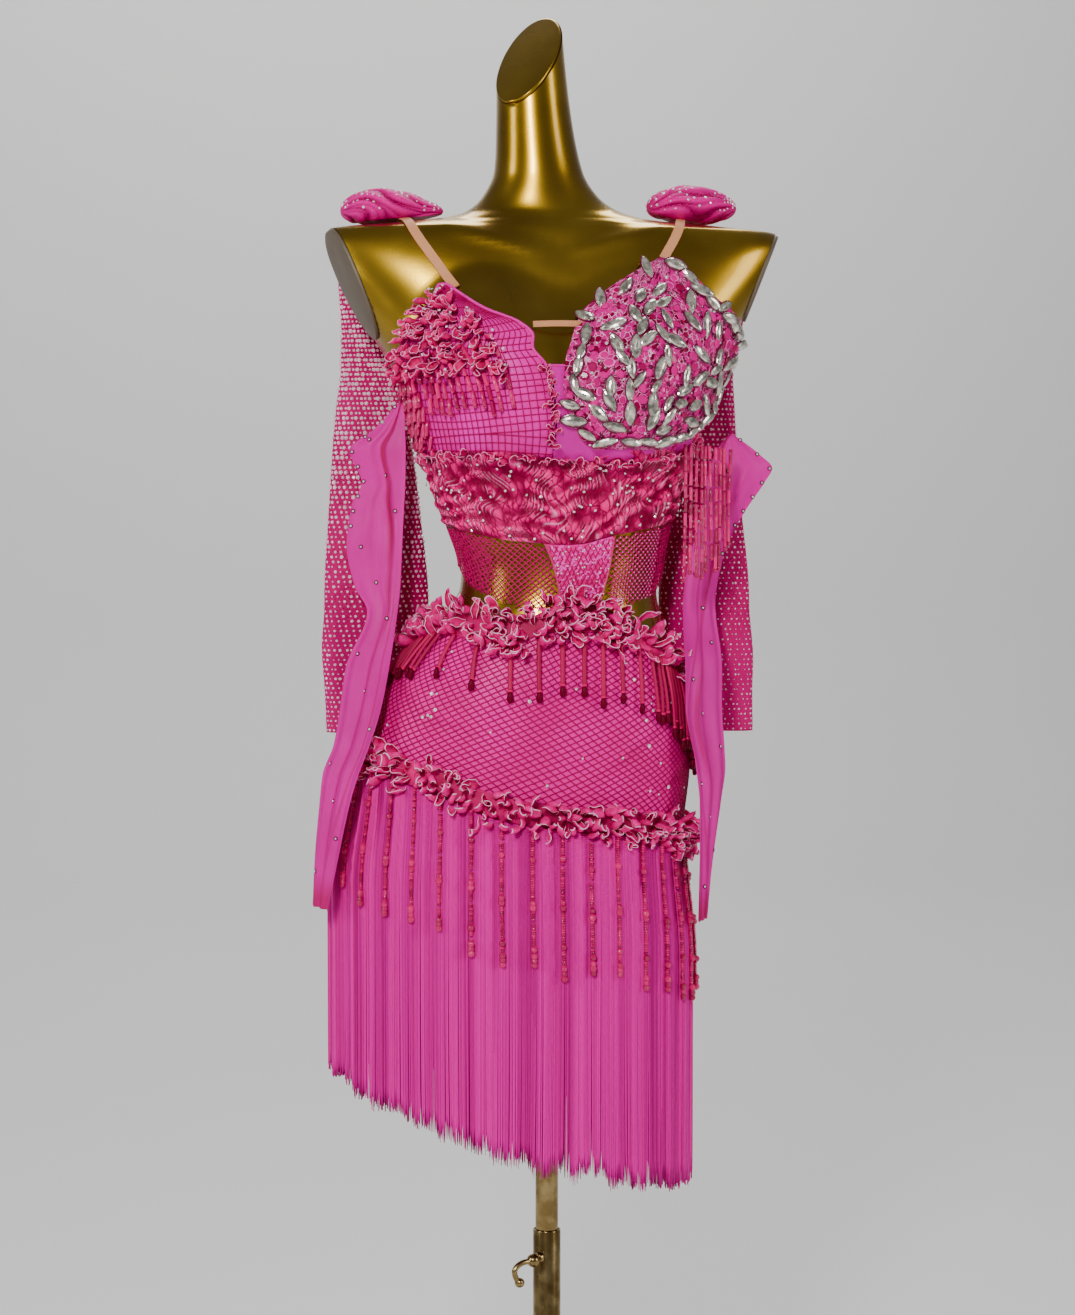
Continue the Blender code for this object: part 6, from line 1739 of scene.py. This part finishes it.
def overlay_points(table, side, columns, rows):
    """A strip between its outer and inner edges, in lengthwise waves that grow downwards."""
    heights, value, down = rows_down(table, OVERLAY_COLUMNS, rows)
    share = np.linspace(0, 1, columns)[None, :]
    x, y = (between(value["outer_" + axis], value["inner_" + axis], share) for axis in "xy")
    along_x, along_y = value["inner_x"] - value["outer_x"], value["inner_y"] - value["outer_y"]
    length = np.hypot(along_x, along_y)
    depth = OVERLAY_FOLD_DEPTH * np.clip(length / OVERLAY_FOLD_WIDTH, 0, 1) * (1 + down) / 2
    wave = np.sin(2 * math.pi * OVERLAY_FOLDS * share + OVERLAY_FOLD_DRIFT * down)
    wave = 0.5 * wave + 0.1 * np.sin(2 * math.pi * 4.3 * share - 2.1 * down + 0.8)
    wave = wave + 0.2 * soft_noise(share * 6, down * 5, 91)
    drift = smooth(*OVERLAY_CREASE[side], down) - share
    crease = np.exp(-(drift / 0.045) ** 2) * smooth(*OVERLAY_CREASE_DEPTH, down)
    second = np.exp(-((drift + 0.3 - 0.5 * np.abs(down - 0.7)) / 0.022) ** 2)
    second = second * np.clip((down - 0.35) / 0.1, 0, 0.7)
    pulls = np.exp(-((down - 0.24) / 0.03) ** 2) * np.sin(9 * share + 30 * down) * 0.3
    wave = depth * (wave + pulls) - 0.0022 * crease - 0.0015 * second
    foot = np.clip((down - 0.93) / 0.05, 0, 1)
    # Painted shade in the crease and along the second fold, and darker towards the foot of the strip.
    crease_shade_and_dark_foot = np.clip(crease + 0.6 * second + 0.7 * foot + 0 * share, 0, 1)
    return xyz(x - side * wave * along_y / length, y + side * wave * along_x / length, heights), crease_shade_and_dark_foot


def build_overlays():
    """Satin strips over the sleeves, with ringed stones, a few of them in a line along the outer edge."""
    for side, table, sign in (("right", OVERLAY_RIGHT, 1), ("left", OVERLAY_LEFT, -1)):
        points, crease_shade_and_dark_foot = overlay_points(table, sign, 72, 170)
        points, crease_shade_and_dark_foot = points[:, ::sign], crease_shade_and_dark_foot[:, ::sign]
        strip = cloth_piece("overlay_" + side + "_satin", points, OVERLAY_SATIN,
                            ("overlay_" + side,), thickness=0.0007, values={"crease_shade_and_dark_foot": crease_shade_and_dark_foot})
        rows, edge = np.arange(12, 168, 12), np.arange(167, 122, -5)
        columns = np.tile((17, 54, 36), len(rows))[:len(rows)] + draw.integers(-6, 7, len(rows))
        columns = np.concatenate((columns, np.full(len(edge), 68 if sign < 0 else 3)))
        rows = np.concatenate((rows, edge))
        origins = points[rows, columns]
        normals = unit(np.cross(np.gradient(points, axis=1), np.gradient(points, axis=0)))[rows, columns]
        down = np.broadcast_to(-UP, origins.shape)
        dots = [scatter_piece(f"overlay_{side}_{kind}", shape, origins + normals * lift, down, normals, size,
                              material)
                for kind, shape, lift, size, material in (
                    ("rings", DISC, 0.0, (0.002, 0.002, 0.006), DARK_RING),
                    ("stones", ROUND_STONE, 0.0006, 0.0011, CRYSTAL))]
        declare_sheet([], with_pieces=dots)


def form_top(x, y):
    """Height of the form's surface above a place, by halving."""
    low, high = np.full(x.shape, 1.3), np.full(x.shape, 1.41)
    for _ in range(22):
        middle = (low + high) / 2
        section = columns_at(FORM_SECTIONS, FORM_COLUMNS, middle)
        deep = np.where(y < 0, section["front"], section["back"])
        reach = (np.abs((x - section["middle"]) / section["half_width"]) ** section["squareness"]
                 + np.abs(y / deep) ** section["squareness"])
        low, high = np.where(reach < 1, middle, low), np.where(reach < 1, high, middle)
    return low


def roll_points(middle, sign, tail):
    """A bean of swirling folds pressed onto the form, and how high each place is on its fold."""
    around = np.linspace(0, 2 * math.pi, 145)[None, :-1]
    tip = np.linspace(0.012, math.pi - 0.012, 100)[:, None]
    x, y, z = -np.cos(tip) + 0 * around, np.sin(tip) * np.cos(around), np.sin(tip) * np.sin(around)
    swirl = 7 * around + 5.2 * x * sign + 2.0 * np.sin(2.2 * x + around)
    swirl = swirl + 2.4 * (soft_noise(x * 3.2, y * 2.4, 93) + soft_noise(z * 3, x * 2, 94))
    fold = 0.62 * np.abs(np.sin(swirl / 2)) ** 0.7 + 0.38 * np.abs(np.sin(swirl * 0.81 + 3 * x)) ** 0.8
    bulge = 1 + 0.26 * (fold - 0.7) * np.sin(tip) ** 0.5 + 0.13 * soft_noise(x * 2.6, y * 2.6, 95)
    bean = 0.16 * (1 - x**2)
    px = middle[0] + ROLL_HALF[0] * x * (1 + 0.06 * soft_noise(y * 4, z * 4, 96))
    px = px + tail * np.clip((x - 0.72) / 0.28, 0, 1) ** 2
    py = middle[1] + ROLL_HALF[1] * (y * bulge + 0.1 * x * sign)
    pz = np.maximum(middle[2] + ROLL_HALF[2] * (z * bulge + bean - 0.1), form_top(px, py) + 0.0032)
    return xyz(px, py, pz), fold


def build_rolls():
    """Bunched mesh on the shoulders, with small stones where it is seen."""
    for name, middle, sign, tail in ROLLS:
        points, fold = roll_points(middle, sign, tail)
        bunch = ringed_piece(name + "_bunch", points, ROLL_MESH, values={"crest": fold},
                             nodes=(name,))
        origins, facing, along = surface_spots(points[6:-6], 0.005, 0.24)
        seen = (draw.random(len(facing)) < 0.42) & (facing[:, 2] > -0.35)
        seen = seen & (origins[:, 2] > form_top(origins[:, 0], origins[:, 1]) + 0.0045)
        scatter_piece(name + "_stones", ROUND_STONE, origins[seen], along[seen], facing[seen],
                      draw.uniform(0.0006, 0.0016, (seen.sum(), 1)), CRYSTAL)


# ---------------------------------------------------------------- straps
def smooth_path(places, count):
    """Evenly spaced points of a smooth curve through the places."""
    places = np.array(places)
    run = run_along(places)
    at = np.linspace(0, run[-1], count)
    return np.stack([smooth(run, places[:, axis], at) for axis in range(3)], axis=-1)


def ribbon_piece(name, centre, facing, width, thickness, node):
    """A flat elastic with rounded edges along a path."""
    along = unit(np.gradient(centre, axis=0))
    facing = unit(facing - along * (facing * along).sum(-1, keepdims=True))
    across = np.cross(along, facing)
    half, deep = width / 2, thickness / 2
    outline = np.array(((half, -deep * 0.4), (half, deep * 0.4), (half * 0.93, deep), (0.0, deep * 1.1),
                        (-half * 0.93, deep), (-half, deep * 0.4), (-half, -deep * 0.4),
                        (-half * 0.93, -deep), (half * 0.93, -deep)))
    points = centre[:, None] + across[:, None] * outline[:, :1] + facing[:, None] * (outline[:, 1:] + deep)
    ringed_piece(name, points, ELASTIC, sharp=50, nodes=(node,))


def build_straps(form):
    finder = BVHTree.FromObject(form, bpy.context.evaluated_depsgraph_get())
    for name, places in (("strap_right", STRAP_RIGHT), ("strap_left", STRAP_LEFT)):
        first, second = np.array(places[0]), np.array(places[1])
        places = (tuple(first + (first - second) * 0.55),) + places
        found = [finder.find_nearest(Vector(place))[:2] for place in smooth_path(places, 76)]
        centre, facing = (np.array(part) for part in zip(*found))
        padded = np.pad(facing, ((3, 3), (0, 0)), mode="edge")
        facing = unit(sum(padded[k:k + len(facing)] for k in range(7)))
        ribbon_piece(name + "_elastic", centre + facing * 0.0016, facing, 0.0086, 0.0014, name)
    ends = np.stack([on_form(math.radians(turn + under), height, 0.005 - 0.0006 * under)
                     for (turn, height), under in zip(CHEST_STRAP, (0.0, 2.6))])
    share = np.linspace(0, 1, 16)[:, None]
    centre = between(*ends, share)
    centre[:, 2] += 0.0006 * np.sin(math.pi * share[:, 0])
    outward = np.broadcast_to(np.cross(unit(ends[1] - ends[0]), UP), centre.shape)
    ribbon_piece("chest_strap_elastic", centre, outward, 0.0055, 0.0012, "chest_strap")


# ---------------------------------------------------------------- stand
def turned_piece(name, profile, body, node, sides=96):
    """Turn a profile (radius, height) from its top outside down to its foot round the pole's axis."""
    angle = whole_turn(sides)
    rings = [xyz(max(radius, 1e-5) * np.cos(angle), max(radius, 1e-5) * np.sin(angle), height)
             for radius, height in profile]
    mesh = fill_mesh(name, np.concatenate(rings), ring_faces(len(profile), sides), sharp=35)
    return add_piece(name, mesh, BRASS, body=body, nodes=(node,))


def stepped(radius, height, steps):
    """Profile points from offsets to a radius and a height."""
    return [(radius + out, height + up) for out, up in steps]


def build_stand():
    """Base plate, hub, tubes and the plate that carries the form, all turned on the pole's axis."""
    corner = [(-0.003 * (1 - math.cos(angle)), -0.003 + 0.003 * math.sin(angle))
              for angle in np.linspace(0, math.pi / 2, 7)]
    turned_piece("base_disc", [
        (0.0, 0.0), (BASE_RADIUS - 0.0012, 0.0), (BASE_RADIUS, 0.0012),
        *stepped(BASE_RADIUS, BASE_HEIGHT, corner + [(-0.014, 0.0), (-0.0155, -0.0006), (-0.017, 0.0)]),
        (0.0, BASE_HEIGHT)], "stand", "base_plate", 160)
    foot, sleeve = BASE_HEIGHT + SEAM, TUBE_RADIUS + 0.006
    turned_piece("hub_turned", [
        (0.0, foot),
        *stepped(HUB_RADIUS, foot, ((-0.0006, 0.0), (0.0, 0.0006), (0.0, 0.0035), (-0.0008, 0.005),
                                    (-0.0035, 0.0064), (-0.0075, 0.0085))),
        *stepped(sleeve, foot, ((0.0035, 0.0115), (0.0011, 0.0155), (0.0, 0.021))),
        *stepped(sleeve, HUB_TOP, ((0.0, -0.007), (0.001, -0.0062), (0.001, -0.004), (-0.0004, -0.0012),
                                   (-0.003, 0.0))),
        (0.0, HUB_TOP)], "stand", "hub")
    foot = HUB_TOP + SEAM
    turned_piece("outer_tube_turned", [
        (0.0, foot), *stepped(TUBE_RADIUS, foot, ((-0.0004, 0.0), (0.0, 0.0004))),
        *stepped(TUBE_RADIUS, TUBE_TOP, ((0.0, -0.001), (-0.0003, -0.0003), (-0.001, 0.0))),
        *stepped(TUBE_BORE, TUBE_TOP, ((0.0005, 0.0), (0.0, -0.0005))), (TUBE_BORE, foot + 0.004),
        (0.0, foot + 0.004)], "stand", "outer_tube")
    plate_foot, plate_top = FORM_FOOT - SEAM - SWIVEL_HEIGHT, FORM_FOOT - SEAM
    mast_top = plate_foot - SEAM
    turned_piece("mast_turned", [
        (0.0, mast_top - 0.006), (MAST_RADIUS - 0.0015, mast_top - 0.006),
        *stepped(MAST_RADIUS, MAST_FOOT, ((-0.0015, 0.0003), (-0.0012, 0.0), (-0.0004, 0.0), (0.0, 0.0004))),
        *stepped(MAST_RADIUS, mast_top, ((0.0, -0.0004), (-0.0004, 0.0))), (0.0, mast_top)], "mast", "mast")
    turned_piece("swivel_disc", [
        (0.0, plate_foot),
        *stepped(SWIVEL_RADIUS, plate_foot, ((-0.001, 0.0), (-0.0003, 0.0003), (0.0, 0.001))),
        *stepped(SWIVEL_RADIUS, plate_top, ((0.0, -0.0006), (-0.0006, 0.0))), (0.0, plate_top)],
                 "form", "swivel_plate")


def ball_rings(middle, radius, axis):
    """Rings of a ball about an axis, its poles closed by small caps."""
    side = unit(np.cross(axis, np.array((0.1, 0.2, 1.0))))
    tip = np.linspace(0.04, math.pi - 0.04, 14)[:, None, None]
    angle = whole_turn(28)[None, :, None]
    return (middle - axis * radius * np.cos(tip)
            + radius * np.sin(tip) * (side * np.cos(angle) + np.cross(axis, side) * np.sin(angle)))


def build_clamp():
    """The clamp: a seat on the tube, and a ball with a curled bar that ends in a smaller ball."""
    outward = np.array((-math.sin(CLAMP_HEADING), -math.cos(CLAMP_HEADING), 0.0))
    level = CLAMP_HEIGHT * UP
    angle = whole_turn(36)[None, :, None]
    profile = np.array(CLAMP_SEAT)
    rings = (level + outward * (TUBE_RADIUS + SEAM + profile[:, None, 1:])
             + profile[:, None, :1] * (np.cross(UP, outward) * np.cos(angle) + UP * np.sin(angle)))
    mesh = fill_mesh("clamp_seat", rings, ring_faces(*rings.shape[:2]), sharp=50)
    add_piece("clamp_seat", mesh, BRASS, body="stand", nodes=("clamp_boss",))

    ball = level + outward * CLAMP_BALL_REACH
    turn = -CLAMP_BAR_TURN
    reach = np.array((outward[0] * math.cos(turn) - outward[1] * math.sin(turn),
                      outward[0] * math.sin(turn) + outward[1] * math.cos(turn), 0.0))
    path = smooth_path([ball + reach * along - UP * down for along, down in CLAMP_BAR], 40)
    along = unit(np.gradient(path, axis=0))[:, None, :]
    across = np.broadcast_to(np.cross(reach, UP), path.shape)[:, None, :]
    angle = whole_turn(18)[None, :, None]
    bar = path[:, None, :] + 0.0026 * (across * np.cos(angle) + np.cross(across, along) * np.sin(angle))
    corners, walls, caps, first = [], [], [], 0
    for rings in (ball_rings(ball, 0.0063, outward), bar, ball_rings(path[-1], 0.0046, along[-1, 0])):
        faces = [part + first for part in ring_faces(*rings.shape[:2])]
        corners.append(rings.reshape(-1, 3))
        walls.append(faces[0])
        caps.append(faces[1])
        first += len(corners[-1])
    mesh = fill_mesh("clamp_handle", np.concatenate(corners), [np.concatenate(walls), *caps], sharp=60)
    add_piece("clamp_handle", mesh, BRASS, body="clamp", nodes=("clamp_screw",))


# ---------------------------------------------------------------- making
form = build_form()
build_cup_right()
build_gusset()
build_back()
build_band()
build_midriff_centre()
build_midriff_nets()
build_skirt()
trim_piece("waist_trim", WAIST_LINE, WAIST_TRIM_ROUND, extra=80)
trim_piece("hip_trim", HIP_LINE, HIP_ROUND + 0.01)
build_drops()
build_fringe()
build_bead_strands()
build_stone_cup()
build_cup_ruffle()
build_underarm_curtain()
build_sleeves()
build_overlays()
build_rolls()
build_straps(form)
build_stand()
build_clamp()


# ---------------------------------------------------------------- camera, light and floor
def set_scene_item(name, data, place, aim):
    """Link a camera or a light that looks from a place at an aim."""
    item = bpy.data.objects.new(name, data)
    item.location = place
    item.rotation_euler = (Vector(aim) - Vector(place)).to_track_quat("-Z", "Y").to_euler()
    bpy.context.scene.collection.objects.link(item)
    return item


def set_camera():
    lens = bpy.data.cameras.new("camera")
    lens.sensor_fit = "VERTICAL"
    lens.sensor_height = 36.0
    lens.lens = CAMERA_LENS
    bpy.context.scene.camera = set_scene_item("camera", lens, CAMERA_PLACE, CAMERA_AIM)


def soft_light(name, place, aim, size, watts, colour=(1, 1, 1)):
    light = bpy.data.lights.new(name, "AREA")
    light.shape = "RECTANGLE"
    light.size, light.size_y = size
    light.energy = watts
    light.color = colour
    set_scene_item(name, light, place, aim)


def set_studio():
    soft_light("front light", (-0.9, -2.9, 2.3), (0, 0, 1.0), (0.4, 0.5), 74)
    soft_light("left light", (2.6, -1.5, 1.7), (0, 0, 1.0), (0.7, 1.6), 31, (1.0, 0.98, 0.96))
    soft_light("right light", (-2.6, -0.9, 1.8), (0, 0, 1.0), (0.6, 1.6), 25, (0.97, 0.98, 1.0))
    soft_light("top light", (0.2, 1.2, 3.0), (0, 0, 1.0), (1.2, 1.0), 34)
    soft_light("wall light", (0.0, 3.2, 4.4), (0, 6.0, 1.2), (4.0, 0.8), 110)
    world = bpy.data.worlds.new("studio")
    world.use_nodes = True
    world.node_tree.nodes["Background"].inputs["Color"].default_value = (0.82, 0.82, 0.84, 1)
    world.node_tree.nodes["Background"].inputs["Strength"].default_value = 0.25
    bpy.context.scene.world = world
    paper = Finish("pale paper", (0.88, 0.875, 0.87), 0.85)
    paper.colour(paper.blend(paper.noise(3.0), (0.87, 0.865, 0.86), (0.89, 0.885, 0.88)))
    bend = np.linspace(0.1, math.pi / 2, 12)
    run = np.concatenate((np.linspace(-14.0, 5.2, 9), 5.2 + 0.8 * np.sin(bend), np.full(6, 6.0)))
    rise = np.concatenate((np.zeros(9), 0.8 * (1 - np.cos(bend)), np.linspace(1.2, 6.0, 6)))
    points = xyz(np.linspace(-9.0, 9.0, 15)[None, :], run[:, None], rise[:, None])
    mesh = fill_mesh("backdrop", points, [grid_faces(len(run), 15)])
    mesh.materials.append(paper.material)
    backdrop = bpy.data.objects.new("backdrop", mesh)
    bpy.context.scene.collection.objects.link(backdrop)


set_camera()
set_studio()
